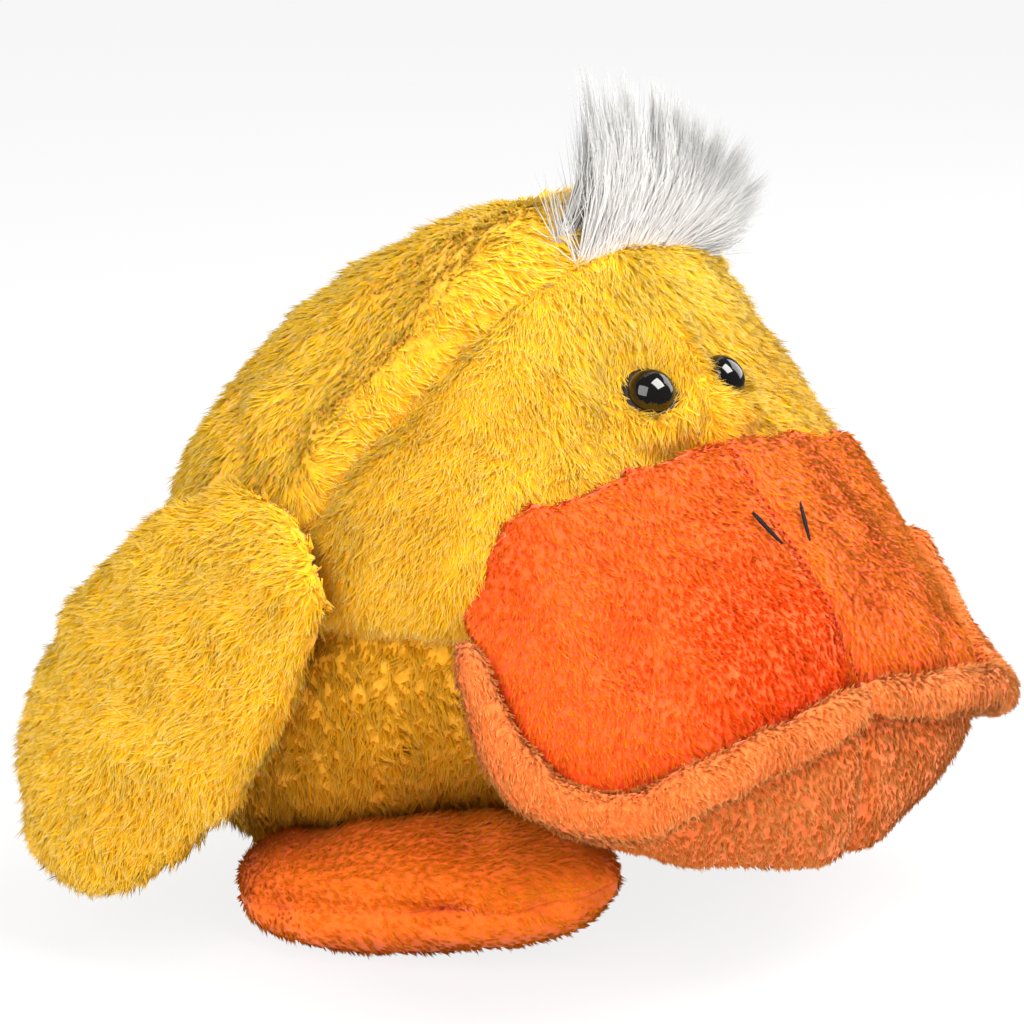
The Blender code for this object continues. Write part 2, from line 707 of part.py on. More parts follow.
def make_wings(body_tree):
    """Each wing's outer and inner fabric and its filling, on the hinge line."""
    height = WING_HEIGHT_SHARE * BODY_HEIGHT
    start = Vector((-GUIDE_REACH, -WING_FORWARD_SHARE * BODY_FRONT, height))
    root = body_tree.ray_cast(start, ACROSS)[0] - ACROSS * WING_ROOT_GAP
    down = Vector((-WING_SPREAD, WING_SWEEP, -WING_DROP))
    tip = root + down
    length = down.length
    down.normalize()
    back = (WING_ROOT_LINE - WING_ROOT_LINE.dot(down) * down).normalized()
    out = back.cross(down).normalized()

    def place(turn, share):
        rise, width, shift, outer, inner, square = smooth_row(WING_SHARES, share, (1, 3, 4))
        across, along = rounded(turn, square)
        swell = outer * WING_OUTER_SWELL if along > 0 else inner * WING_INNER_SWELL
        return (
            tip
            - down * rise * length
            + back * WING_HALF_WIDTH * (across * width + shift)
            + out * along * swell
        )

    wing = stuffed("wing", WING_SIDES, WING_RINGS, place)
    outer, inner = two_sides("wing_seam", root, out, SEAM_GAP)
    hide = skin(wing, LIMB_PLUSH_THICKNESS, "wing_skin")
    core = grown(wing, -LIMB_PLUSH_THICKNESS - FILLING_GAP, "wing_core")
    right = [
        boolean(piece("wing_outer_right", hide, "yellow_plush"), "INTERSECT", outer),
        boolean(piece("wing_inner_right", hide.copy(), "yellow_plush"), "INTERSECT", inner),
        piece("wing_filling_right", core, "filling"),
    ]
    body = bpy.data.objects["face_clearance"]
    left = [twin(boolean(node, "DIFFERENCE", body)) for node in right]
    hang("wing_right_hinge", root, right)
    hang("wing_left_hinge", Vector((-root.x, root.y, root.z)), left)


def make_feet():
    """Each foot's top, sole and filling, on the seam that it hangs from."""
    turn_in = Matrix.Rotation(math.radians(FOOT_TOE_IN), 3, UP)
    ahead = turn_in @ FORWARD
    across = turn_in @ ACROSS
    ahead = Matrix.Rotation(math.radians(-FOOT_TOE_UP), 3, across) @ ahead
    top = ahead.cross(across)
    ground = Vector((-FOOT_ACROSS_SHARE * BODY_HALF_WIDTH, -FOOT_FORWARD_SHARE * BODY_FRONT, 0.0))
    middle = ground + UP * (FOOT_THICKNESS / 2 - FOOT_FLAT)

    def place(turn, share):
        rise, width, sole, upper, square = smooth_row(FOOT_SHARES, share, (1, 2, 3))
        side, along = rounded(turn, square)
        swell = (upper if along > 0 else sole) * FOOT_THICKNESS / 2
        return (
            middle
            + ahead * rise * FOOT_LENGTH / 2
            + across * side * width * FOOT_HALF_WIDTH
            + top * along * swell
        )

    foot = stuffed("foot", FOOT_SIDES, FOOT_RINGS, place)
    upper, sole = two_sides("foot_seam", middle, top, SEAM_GAP)
    body, floor = bpy.data.objects["face_clearance"], bpy.data.objects["floor"]
    hide = skin(foot, LIMB_PLUSH_THICKNESS, "foot_skin")
    core = grown(foot, -LIMB_PLUSH_THICKNESS - FILLING_GAP, "foot_core")
    right = [
        boolean(piece("foot_upper_right", hide, "foot_plush"), "INTERSECT", upper),
        boolean(piece("foot_sole_right", hide.copy(), "foot_plush"), "INTERSECT", sole, floor),
        piece("foot_filling_right", core, "filling"),
    ]
    left = [twin(boolean(node, "DIFFERENCE", body)) for node in right]
    turn = math.radians(FOOT_HINGE_TURN)
    inward = Vector((math.sin(turn), math.cos(turn), 0.0)) * FOOT_HINGE_INSET
    seam = ground + inward + UP * FOOT_HINGE_HEIGHT
    hang("foot_right_hinge", seam, right)
    hang("foot_left_hinge", Vector((-seam.x, seam.y, seam.z)), left)


def main():
    """Builds the duck from the body out."""
    clear_scene()
    body = stuffed("body", BODY_SIDES, BODY_RINGS, body_place, even=True)
    body_tree = tree_of(body)
    crown = body_tree.ray_cast(Vector((0.0, -SEAM_TOP_FORWARD, GUIDE_REACH)), -UP)[0]
    make_body(body, crown)
    bill_tree = tree_of(make_bill(body))
    for side, sign in (("right", -1), ("left", 1)):
        make_eye(side, sign, body_tree)
        make_nostril(side, sign, bill_tree)
    make_tuft(crown)
    make_wings(body_tree)
    make_feet()


main()
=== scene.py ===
"""The looks of a sitting plush duck with a huge bill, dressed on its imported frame.

The duck faces -Y and sits on Z = 0, with its right side at -X. Each stuffed form
starts as a voxel remesh of the CAD solids that it stands for. It is rounded, sculpted
with its seams, folds and dimples, cut into its sewn panels and covered with pile.
"""

import json
import logging
import math
from collections.abc import Callable, Sequence
from dataclasses import dataclass, field, replace
from enum import Enum
from typing import ClassVar

import bmesh
import bpy
import numpy as np
from mathutils import Matrix, Vector
from mathutils.bvhtree import BVHTree


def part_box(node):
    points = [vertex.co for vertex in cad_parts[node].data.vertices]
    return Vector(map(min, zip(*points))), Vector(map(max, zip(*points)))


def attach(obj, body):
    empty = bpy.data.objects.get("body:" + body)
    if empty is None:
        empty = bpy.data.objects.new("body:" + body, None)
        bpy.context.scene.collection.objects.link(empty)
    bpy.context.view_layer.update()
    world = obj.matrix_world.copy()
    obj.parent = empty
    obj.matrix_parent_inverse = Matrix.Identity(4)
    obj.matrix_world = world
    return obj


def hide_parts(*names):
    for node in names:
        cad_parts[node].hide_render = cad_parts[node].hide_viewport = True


MM = 0.001
MERGE = 0.00005                 # points of a CAD copy closer than this are one
TINY = 1e-12                    # no vector shorter than this is made one long
PILE_MAP = "OFBake"             # the map that the pile's colours are read from
MAP_EDGE = 0.02                 # how far the strands stay from the map's edges
MAP_ROUND = 0.02                # how far a strand's two sides lie apart on it
LOG = logging.getLogger("plush_duck")

Array = np.ndarray
Field = Callable[[Array, Array], Array]
Colour = tuple[float, float, float]

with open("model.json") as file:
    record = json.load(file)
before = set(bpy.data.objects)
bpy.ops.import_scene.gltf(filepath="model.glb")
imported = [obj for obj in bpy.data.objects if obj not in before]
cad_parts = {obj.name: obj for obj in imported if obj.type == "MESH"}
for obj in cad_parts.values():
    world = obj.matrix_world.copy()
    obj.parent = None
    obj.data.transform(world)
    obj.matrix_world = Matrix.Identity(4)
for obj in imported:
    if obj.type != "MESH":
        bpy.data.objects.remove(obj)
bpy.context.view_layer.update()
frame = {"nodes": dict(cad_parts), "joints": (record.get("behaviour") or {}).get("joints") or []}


class Side(Enum):
    """The duck's two sides, each with the sign of its X."""

    RIGHT = -1
    LEFT = 1

    @property
    def word(self) -> str:
        """The side's name, as the nodes have it."""
        return self.name.lower()


class Keep(Enum):
    """Which side of a cutting plane stays."""

    FRONT = 1
    BACK = -1


def unit(vectors: Array) -> Array:
    """Vectors made one long, row by row."""
    length = np.linalg.norm(vectors, axis=-1, keepdims=True)
    return vectors / np.maximum(length, TINY)


def flat_on(vectors: Array, normals: Array) -> Array:
    """What is left of vectors along the surface with these normals."""
    return vectors - (vectors * normals).sum(-1, keepdims=True) * normals


def waves(
    points: Array, size: float, seed: int, count: int = 7,
    paces: tuple[float, float] = (0.6, 1.5),
) -> Array:
    """Smooth values of about -1 to 1 that vary over space.

    Args:
        points: The places, one a row, in metres.
        size: The usual distance from one crest to the next, in metres.
        seed: Which pattern it is.
        count: How many plane waves are added up.
        paces: The slowest and the fastest wave, against one of that size.

    Returns:
        One value for each place.
    """
    draw = np.random.default_rng(seed)
    total = np.zeros(len(points))
    for _ in range(count):
        way = unit(draw.normal(size=3))
        pace = draw.uniform(*paces) * 2 * math.pi / size
        total += np.sin(points @ way * pace + draw.uniform(0, 2 * math.pi))
    return total / math.sqrt(count)


def bell(distance: Array, width: float) -> Array:
    """A smooth bump that is 1 at no distance and small beyond the width."""
    return np.exp(-((distance / width) ** 2))


def ease(values: Array, low: float, high: float) -> Array:
    """A smooth step from 0 at low to 1 at high."""
    part = np.clip((values - low) / (high - low), 0.0, 1.0)
    return part * part * (3 - 2 * part)


def along_line(points: Array, line: Array) -> tuple[Array, Array]:
    """How far points lie from a line of straight runs, and where along it.

    Args:
        points: The places, one a row.
        line: The line's corners, one a row.

    Returns:
        The distance of each place, and the share of the line at its nearest point.
    """
    best = np.full(len(points), np.inf)
    share = np.zeros(len(points))
    runs = len(line) - 1
    for index, (start, end) in enumerate(zip(line, line[1:])):
        run = end - start
        part = np.clip((points - start) @ run / (run @ run), 0.0, 1.0)
        distance = np.linalg.norm(points - start - part[:, None] * run, axis=1)
        nearer = distance < best
        best = np.where(nearer, distance, best)
        share = np.where(nearer, (index + part) / runs, share)
    return best, share


@dataclass(frozen=True)
class Fold:
    """A soft line pressed into, or standing out of, a stuffed form.

    Attributes:
        line: Its corners in millimetres, on the duck's right side.
        depth: How deep it is, in millimetres. A negative depth stands out.
        width: How far its slopes reach, in millimetres.
        both: Whether the left side has it as well.
        end_level: How much of its depth is left at its ends.
        rise: How fast it gains its full depth from there, over the line's length.
    """

    line: tuple[tuple[float, float, float], ...]
    depth: float
    width: float
    both: bool = True
    end_level: float = 0.35
    rise: float = 5.0

    def amount(self, points: Array) -> Array:
        """How far each point moves in, in metres."""
        sides = (1.0, -1.0) if self.both else (1.0,)
        total = np.zeros(len(points))
        for sign in sides:
            line = np.array(self.line) * MM * (sign, 1.0, 1.0)
            distance, share = along_line(points, line)
            ends = np.clip(np.minimum(share, 1 - share) * self.rise, 0.0, 1.0)
            level = self.end_level + (1 - self.end_level) * ends * (2 - ends)
            total = np.maximum(total, bell(distance, self.width * MM) * level)
        return total * self.depth * MM


@dataclass(frozen=True)
class Pull:
    """A soft pull on a form about one place, in millimetres.

    Attributes:
        place: Where it pulls most.
        move: How far and which way it pulls there.
        reach: How far from there it still pulls.
    """

    place: tuple[float, float, float]
    move: tuple[float, float, float]
    reach: float

    def moved(self, points: Array) -> Array:
        """The points after the pull."""
        distance = np.linalg.norm(points - np.array(self.place) * MM, axis=1)
        return points + np.outer(bell(distance, self.reach * MM), np.array(self.move) * MM)


def folded(folds: Sequence[Fold], points: Array) -> Array:
    """How far each point moves in for all of these folds, in metres."""
    return sum((fold.amount(points) for fold in folds), np.zeros(len(points)))


@dataclass(frozen=True)
class Stroke:
    """The way in which the pile lies about one place, on the duck's right side.

    Attributes:
        place: Where, in millimetres.
        way: The direction in which the pile points there.
        tone: How much light is painted into its nap there, or shade if it is negative.
    """

    place: tuple[float, float, float]
    way: tuple[float, float, float]
    tone: float = 0.0


@dataclass(frozen=True)
class Seam:
    """A seam along a plane, in which the pile is short and sunk, and painted dark as the shade in its
    groove.

    Attributes:
        point: A point of the plane, in metres.
        normal: The plane's normal.
        width: How far the seam reaches, in millimetres.
        shorten: Share of the pile's length that is lost in it.
        darken: How much shade is painted into the pile in it.
    """

    point: tuple[float, float, float]
    normal: tuple[float, float, float]
    width: float = 1.8
    shorten: float = 0.5
    darken: float = 0.45

    def near(self, points: Array) -> Array:
        """A share of 1 in the seam that falls to 0 beside it."""
        apart = (points - np.array(self.point)) @ unit(np.array(self.normal, float))
        return bell(apart, self.width * MM)


@dataclass(frozen=True)
class Combing:
    """The way in which pile lies over a whole form, drawn from a few strokes.

    Attributes:
        strokes: The strokes, on the duck's right side.
        left_tone: How much light is painted into the left side's nap, beyond the right side's.
        soft: How softly one stroke passes into the next, in millimetres.
    """

    strokes: tuple[Stroke, ...]
    left_tone: float = 0.0
    soft: float = 12.0

    def ways(self, points: Array) -> tuple[Array, Array]:
        """The direction, and the light or shade painted into the nap, at each point, mirrored from
        right to left.
        """
        flip = np.where(points[:, 0] > 0, -1.0, 1.0)
        mirrored = points * np.stack([flip, np.ones_like(flip), np.ones_like(flip)], axis=1)
        places = np.array([stroke.place for stroke in self.strokes]) * MM
        headings = unit(np.array([stroke.way for stroke in self.strokes], float))
        apart = np.linalg.norm(mirrored[:, None] - places[None], axis=2)
        weight = 1.0 / (apart**2 + (self.soft * MM) ** 2) ** 1.5
        weight /= weight.sum(axis=1, keepdims=True)
        result = unit(weight @ headings)
        result[:, 0] *= flip
        tone = weight @ np.array([stroke.tone for stroke in self.strokes])
        return result, tone + np.where(points[:, 0] > 0, self.left_tone, 0.0)


def shader_of(name: str) -> tuple[bpy.types.Material, bpy.types.Node]:
    """A new node material and its shader."""
    made = bpy.data.materials.new(name)
    made.use_nodes = True
    return made, made.node_tree.nodes["Principled BSDF"]


def grain_of(made: bpy.types.Material, size: float) -> bpy.types.Node:
    """Adds a noise that lies in the piece's own space, with grains of a size in metres."""
    nodes = made.node_tree.nodes
    place, noise = nodes.new("ShaderNodeTexCoord"), nodes.new("ShaderNodeTexNoise")
    noise.inputs["Scale"].default_value = 1.0 / size
    made.node_tree.links.new(place.outputs["Object"], noise.inputs["Vector"])
    return noise


def ramp(
    made: bpy.types.Material, value: bpy.types.NodeSocket,
    stops: Sequence[tuple[float, Sequence[float]]],
) -> bpy.types.NodeSocket:
    """Adds a colour ramp over a value.

    Args:
        made: The material.
        value: What the ramp reads.
        stops: Each stop's place from 0 to 1, and its colour.

    Returns:
        The socket that gives the ramp's colour.
    """
    node = made.node_tree.nodes.new("ShaderNodeValToRGB")
    marks = node.color_ramp.elements
    for mark, (place, colour) in zip(marks, (stops[0], stops[-1])):
        mark.position, mark.color = place, (*colour, 1.0)
    for place, colour in stops[1:-1]:
        marks.new(place).color = (*colour, 1.0)
    made.node_tree.links.new(value, node.inputs["Fac"])
    return node.outputs["Color"]


@dataclass(frozen=True)
class PileFinish:
    """Dyed pile whose colour runs from its roots to its tips, with painted shade at the roots and a
    painted highlight at the tips.

    Attributes:
        name: The material's name.
        root: Colour deep in the pile, darkened as painted shade between the strands.
        body: Colour along the strand.
        tip: Colour of the pale tip, lightened as a painted highlight.
        pale: How much paler the palest strands are than the darkest.
        tip_start: Share of the strand at which the tip's colour starts.
        body_start: Share of that at which the strand's own colour starts.
        rough: Roughness.
        gloss: Level of its plain reflection.
    """

    name: str
    root: Colour
    body: Colour
    tip: Colour
    pale: float = 0.35
    tip_start: float = 0.62
    body_start: float = 0.55
    rough: float = 0.85
    gloss: float = 0.1

    def shade(self, colour: Colour, amount: float) -> Colour:
        """A colour made lighter, or darker if the amount is negative."""
        level = 1 + min(amount, 0.0) / 2
        return tuple(channel ** (1 - amount) * level for channel in colour)

    def material(self) -> bpy.types.Material:
        """The material, which reads shade across the pile's map and length up it."""
        made, shader = shader_of(self.name)
        nodes, links = made.node_tree.nodes, made.node_tree.links
        place, parts = nodes.new("ShaderNodeUVMap"), nodes.new("ShaderNodeSeparateXYZ")
        place.uv_map = PILE_MAP
        links.new(place.outputs["UV"], parts.inputs[0])
        mix = nodes.new("ShaderNodeMix")
        mix.data_type = "RGBA"
        links.new(parts.outputs["X"], mix.inputs["Factor"])
        colours = (self.root, self.body, self.body, self.tip)
        places = (0.0, self.tip_start * self.body_start, self.tip_start, 1.0)
        for end, amount in (("A", -self.pale), ("B", self.pale)):
            stops = [(at, self.shade(colour, amount)) for at, colour in zip(places, colours)]
            links.new(ramp(made, parts.outputs["Y"], stops), mix.inputs[end])
        links.new(mix.outputs["Result"], shader.inputs["Base Color"])
        shader.inputs["Roughness"].default_value = self.rough
        shader.inputs["Specular IOR Level"].default_value = self.gloss
        return made


@dataclass(frozen=True)
class ClothFinish:
    """Plain dyed cloth, fibre or backing, mottled and finely rough.

    Attributes:
        name: The material's name.
        dark: Colour in the hollows.
        light: Colour on the high places.
        grain: Size of the fine grain, in millimetres.
        rough: Roughness.
        relief: Height of the bump, in millimetres.
        sheen: Weight of the sheen.
        sheen_rough: The sheen's roughness.
        bump: Strength of the bump.
        detail: How fine the finest grain is.
        spread: Where between low and high the colours change.
    """

    name: str
    dark: Colour
    light: Colour
    grain: float = 1.2
    rough: float = 0.9
    relief: float = 0.4
    sheen: float = 0.2
    sheen_rough: float = 0.5
    bump: float = 0.6
    detail: float = 4.0
    spread: tuple[float, float] = (0.32, 0.68)

    def material(self) -> bpy.types.Material:
        """The material, whose pattern lies in the piece's own space."""
        made, shader = shader_of(self.name)
        nodes, links = made.node_tree.nodes, made.node_tree.links
        noise = grain_of(made, self.grain * MM)
        noise.inputs["Detail"].default_value = self.detail
        stops = list(zip(self.spread, (self.dark, self.light)))
        links.new(ramp(made, noise.outputs["Fac"], stops), shader.inputs["Base Color"])
        bump = nodes.new("ShaderNodeBump")
        bump.inputs["Strength"].default_value = self.bump
        bump.inputs["Distance"].default_value = self.relief * MM
        links.new(noise.outputs["Fac"], bump.inputs["Height"])
        links.new(bump.outputs["Normal"], shader.inputs["Normal"])
        shader.inputs["Roughness"].default_value = self.rough
        shader.inputs["Sheen Weight"].default_value = self.sheen
        shader.inputs["Sheen Roughness"].default_value = self.sheen_rough
        return made


@dataclass(frozen=True)
class MouldedFinish:
    """Moulded plastic, a little uneven.

    Attributes:
        name: The material's name.
        colour: Its colour.
        rough: Roughness.
        coat: Weight of the clear gloss on top.
        coat_rough: The gloss's roughness.
        cloud: Size of the clouds in it, in millimetres.
        vary: Share by which its colour and roughness vary.
    """

    name: str
    colour: Colour
    rough: float
    coat: float = 0.0
    coat_rough: float = 0.03
    cloud: float = 4.0
    vary: float = 0.2

    def material(self) -> bpy.types.Material:
        """The material, with a faint cloudy variation in colour and roughness."""
        made, shader = shader_of(self.name)
        nodes, links = made.node_tree.nodes, made.node_tree.links
        noise = grain_of(made, self.cloud * MM)
        darker = tuple(channel * (1 - self.vary) for channel in self.colour)
        stops = [(0.0, darker), (1.0, self.colour)]
        links.new(ramp(made, noise.outputs["Fac"], stops), shader.inputs["Base Color"])
        spread = nodes.new("ShaderNodeMapRange")
        spread.inputs["To Min"].default_value = self.rough * (1 - self.vary)
        spread.inputs["To Max"].default_value = self.rough * (1 + self.vary)
        links.new(noise.outputs["Fac"], spread.inputs["Value"])
        links.new(spread.outputs["Result"], shader.inputs["Roughness"])
        shader.inputs["Coat Weight"].default_value = self.coat
        shader.inputs["Coat Roughness"].default_value = self.coat_rough
        return made


YELLOW_PILE = PileFinish(
    "yellow_pile", (0.97, 0.34, 0.002), (0.97, 0.48, 0.006), (0.98, 0.76, 0.25), pale=0.28,
    tip_start=0.66,
)
# Painted shade: the belly's pile is a darker copy of the face's yellow, for the shade under the head.
BELLY_PAINTED_SHADE_FINISH = replace(
    YELLOW_PILE, name="belly_pile", root=(0.74, 0.27, 0.003), body=(0.77, 0.38, 0.006),
    tip=(0.84, 0.58, 0.14),
)
ORANGE_PILE = PileFinish(
    "orange_pile", (0.87, 0.065, 0.001), (0.87, 0.09, 0.001), (0.93, 0.24, 0.04), pale=0.32,
    tip_start=0.56, gloss=0.03,
)
LIP_PILE = PileFinish(
    "lip_pile", (0.75, 0.10, 0.007), (0.82, 0.175, 0.022), (0.90, 0.40, 0.13), pale=0.25,
    tip_start=0.5, gloss=0.06,
)
# Painted shade: the jaw's pile is a darker copy of the lip's orange, for the shade under the lip roll.
JAW_PAINTED_SHADE_FINISH = replace(
    LIP_PILE, name="jaw_pile", root=(0.58, 0.10, 0.010), body=(0.60, 0.145, 0.018),
    tip=(0.70, 0.32, 0.10),
)
FOOT_PILE = PileFinish(
    "foot_pile", (1.0, 0.14, 0.002), (1.0, 0.185, 0.003), (1.0, 0.34, 0.03), pale=0.2,
    tip_start=0.6, gloss=0.06,
)
WHITE_PILE = PileFinish(
    "white_pile", (0.80, 0.62, 0.48), (0.62, 0.60, 0.57), (0.62, 0.62, 0.62), pale=0.25,
    tip_start=0.35,
)
YELLOW_BACKING = ClothFinish("yellow_backing", (1.0, 0.40, 0.005), (1.0, 0.52, 0.015), relief=0.1)
ORANGE_BACKING = ClothFinish("orange_backing", (0.90, 0.06, 0.002), (0.93, 0.11, 0.004), relief=0.1)
FOOT_BACKING = ClothFinish("foot_backing", (0.95, 0.14, 0.003), (1.0, 0.19, 0.005), relief=0.1)
LIP_BACKING = ClothFinish("lip_backing", (0.78, 0.11, 0.01), (0.86, 0.18, 0.025), relief=0.1)
SEAM_THREAD = ClothFinish("seam_thread", (0.34, 0.018, 0.001), (0.5, 0.03, 0.002), grain=0.4, sheen=0.0)
FIBRE = ClothFinish("stuffing_fibre", (0.72, 0.71, 0.68), (0.88, 0.88, 0.86), grain=2.5, relief=1.2)
BAG_CLOTH = ClothFinish("pellet_bag_cloth", (0.58, 0.55, 0.48), (0.76, 0.74, 0.68), grain=0.8)
BLACK_THREAD = ClothFinish(
    "black_thread", (0.001, 0.001, 0.001), (0.008, 0.006, 0.005), grain=0.4, sheen=0.0
)
BLACK_GLOSS = MouldedFinish("black_gloss", (0.004, 0.003, 0.003), 0.05, coat=0.6)
BROWN_GLOSS = MouldedFinish("brown_gloss", (0.022, 0.010, 0.004), 0.5)
WASHER_PLASTIC = MouldedFinish("washer_plastic", (0.72, 0.72, 0.69), 0.45)


def new_object(name: str, mesh: bpy.types.Mesh, finish: bpy.types.Material) -> bpy.types.Object:
    """Links a smooth-shaded mesh into the scene in one material.

    Args:
        name: The piece's name.
        mesh: Its mesh, in place.
        finish: Its material.

    Returns:
        The new object.
    """
    mesh.materials.clear()
    mesh.materials.append(finish)
    mesh.shade_smooth()
    made = bpy.data.objects.new(name, mesh)
    bpy.context.scene.collection.objects.link(made)
    return made


def report(piece: bpy.types.Object) -> None:
    """Logs a piece's name and how many triangles it has."""
    LOG.info("%s: %d triangles", piece.name, sum(len(f.vertices) - 2 for f in piece.data.polygons))


@dataclass
class Form:
    """A stuffed form: a bmesh, with the moves that shape it."""

    shape: bmesh.types.BMesh

    @classmethod
    def of_nodes(cls, nodes: Sequence[str], voxel: float, grow: float = 0.45 * MM) -> "Form":
        """Makes one closed form of several CAD solids.

        Args:
            nodes: The CAD nodes that it stands for.
            voxel: Size of the remesh's voxels, in metres.
            grow: How far each solid swells first, which closes the gaps between them.

        Returns:
            The form, at the solids' own size.
        """
        whole = bmesh.new()
        for node in nodes:
            whole.from_mesh(frame["nodes"][node].data)
        bmesh.ops.remove_doubles(whole, verts=whole.verts, dist=MERGE)
        whole.normal_update()
        ways = [(vertex, vertex.normal.copy()) for vertex in whole.verts]
        for vertex, way in ways:
            vertex.co += way * grow
        mesh = bpy.data.meshes.new("form")
        whole.to_mesh(mesh)
        whole.free()
        holder = bpy.data.objects.new("form", mesh)
        bpy.context.scene.collection.objects.link(holder)
        step = holder.modifiers.new("remesh", "REMESH")
        step.mode = "VOXEL"
        step.voxel_size = voxel
        shape = bmesh.new()
        shape.from_object(holder, bpy.context.evaluated_depsgraph_get())
        bpy.data.objects.remove(holder)
        bpy.data.meshes.remove(mesh)
        form = cls(shape)
        form.keep_largest()
        form.push(lambda points, normals: np.full(len(points), grow))
        return form

    def keep_largest(self) -> None:
        """Deletes what doesn't hang together with the largest island of faces."""
        left, best = set(self.shape.verts), set()
        while left:
            island, edge = set(), [left.pop()]
            while edge:
                vertex = edge.pop()
                island.add(vertex)
                for near in (link.other_vert(vertex) for link in vertex.link_edges):
                    if near in left:
                        left.discard(near)
                        edge.append(near)
            best = max(best, island, key=len)
        stray = [vertex for vertex in self.shape.verts if vertex not in best]
        bmesh.ops.delete(self.shape, geom=stray, context="VERTS")

    def places(self) -> tuple[Array, Array]:
        """The vertices' places and normals, one a row."""
        self.shape.normal_update()
        points = np.array([vertex.co for vertex in self.shape.verts], float).reshape(-1, 3)
        normals = np.array([vertex.normal for vertex in self.shape.verts], float).reshape(-1, 3)
        return points, normals

    def set_places(self, points: Array) -> None:
        """Moves the vertices to new places."""
        for vertex, point in zip(self.shape.verts, points):
            vertex.co = point

    def smooth(
        self, times: int, factor: float = 0.5, where: Sequence[bmesh.types.BMVert] | None = None,
    ) -> None:
        """Rounds the form, or only some vertices of it, some number of times over."""
        for _ in range(times):
            bmesh.ops.smooth_vert(
                self.shape, verts=self.shape.verts if where is None else where, factor=factor,
                use_axis_x=True, use_axis_y=True, use_axis_z=True,
            )

    def push(self, depth: Field) -> None:
        """Moves the surface in along its normals by a field of depths, in metres."""
        points, normals = self.places()
        self.set_places(points - normals * depth(points, normals)[:, None])

    def sink(self, depth: Field, most: float = 0.3) -> None:
        """Moves the surface in by a field of depths, in metres, but where the form is
        thin by no more than a share of its thickness."""
        points, normals = self.places()
        faces = BVHTree.FromBMesh(self.shape)
        wanted = depth(points, normals)
        for index in np.flatnonzero(wanted > 0):
            way = -Vector(normals[index])
            across = faces.ray_cast(Vector(points[index]) + way * MERGE, way)[3]
            if across is not None:
                wanted[index] = min(wanted[index], most * across)
        self.set_places(points - normals * wanted[:, None])

    def copy(self) -> "Form":
        """A copy of the form."""
        return Form(self.shape.copy())

    def cut(self, point: Vector, normal: Vector, keep: Keep) -> "Form":
        """Cuts the form at a plane and drops one side. The cut stays open."""
        whole = self.shape.verts[:] + self.shape.edges[:] + self.shape.faces[:]
        bmesh.ops.bisect_plane(
            self.shape, geom=whole, dist=MERGE, plane_co=point, plane_no=normal,
            clear_inner=keep is Keep.FRONT, clear_outer=keep is Keep.BACK,
        )
        return self

    def mirrored(self) -> "Form":
        """A copy of the form on the other side."""
        other = self.shape.copy()
        bmesh.ops.scale(other, vec=(-1.0, 1.0, 1.0), verts=other.verts)
        bmesh.ops.reverse_faces(other, faces=other.faces)
        return Form(other)

    def tuck(
        self, skin: "Skin", depth: float, rounds: int = 24, pull: float = 2.0,
        pace: float = 1.5, rounding: int = 3,
    ) -> None:
        """Draws in what doesn't lie some way inside a skin, and rounds it.

        Where the skin's two sides are close together, it draws back towards its middle.

        Args:
            skin: The skin round the form.
            depth: How far inside it the form has to lie, in metres.
            rounds: How often it is drawn in at most.
            pull: How strongly it goes towards its middle, against straight in.
            pace: How far it goes at a time, against what it lacks.
            rounding: How often it is rounded each time.
        """
        centre = self.places()[0].mean(axis=0)
        for _ in range(rounds):
            points, normals = self.places()
            wanted = np.clip(skin.gaps(points) + depth, 0.0, MM)
            if not wanted.any():
                return
            inward = unit(unit(centre - points) * pull - normals)
            self.set_places(points + inward * pace * wanted[:, None])
            shallow = [vertex for vertex, move in zip(self.shape.verts, wanted) if move > 0]
            self.smooth(rounding, where=shallow)

    def skin(self) -> "Skin":
        """What distances to the form are looked up in."""
        return Skin(self)

    def mesh(self, name: str) -> bpy.types.Mesh:
        """The form as a mesh."""
        made = bpy.data.meshes.new(name)
        self.shape.to_mesh(made)
        return made

    def shell(self, name: str, thickness: float, finish: bpy.types.Material) -> bpy.types.Object:
        """The form as a piece of fabric of a thickness, closed along its cut edges."""
        made = new_object(name, self.mesh(name), finish)
        step = made.modifiers.new("thickness", "SOLIDIFY")
        step.thickness = thickness
        step.offset = -1.0
        return made

    def solid(self, name: str, finish: bpy.types.Material) -> bpy.types.Object:
        """The form as a closed piece, with its open cuts filled."""
        edges = [edge for edge in self.shape.edges if edge.is_boundary]
        if edges:
            bmesh.ops.holes_fill(self.shape, edges=edges, sides=0)
        return new_object(name, self.mesh(name), finish)


class Skin:
    """The surface of a closed form, to which distances are looked up."""

    PROBE = Vector((0.13, 0.07, 0.99)).normalized()
    STEP = 0.001 * MM

    def __init__(self, form: Form) -> None:
        """Reads the form's faces and reach."""
        points, _ = form.places()
        self.low, self.high = points.min(0), points.max(0)
        self.faces = BVHTree.FromBMesh(form.shape)

    def inside(self, point: Vector) -> bool:
        """Whether a point lies inside, from how often a ray from it crosses the skin."""
        crossings, start = 0, point
        while (hit := self.faces.ray_cast(start, self.PROBE)[0]) is not None:
            crossings += 1
            start = hit + self.PROBE * self.STEP
        return crossings % 2 == 1

    def gaps(self, points: Array, reach: float = 12.0 * MM) -> Array:
        """How far points lie outside the form, up to a reach. It is negative inside."""
        far = ((points < self.low - reach) | (points > self.high + reach)).any(axis=1)
        result = np.full(len(points), reach)
        for index in np.flatnonzero(~far):
            point = Vector(points[index])
            distance = min(self.faces.find_nearest(point)[3], reach)
            result[index] = -distance if self.inside(point) else distance
        return result


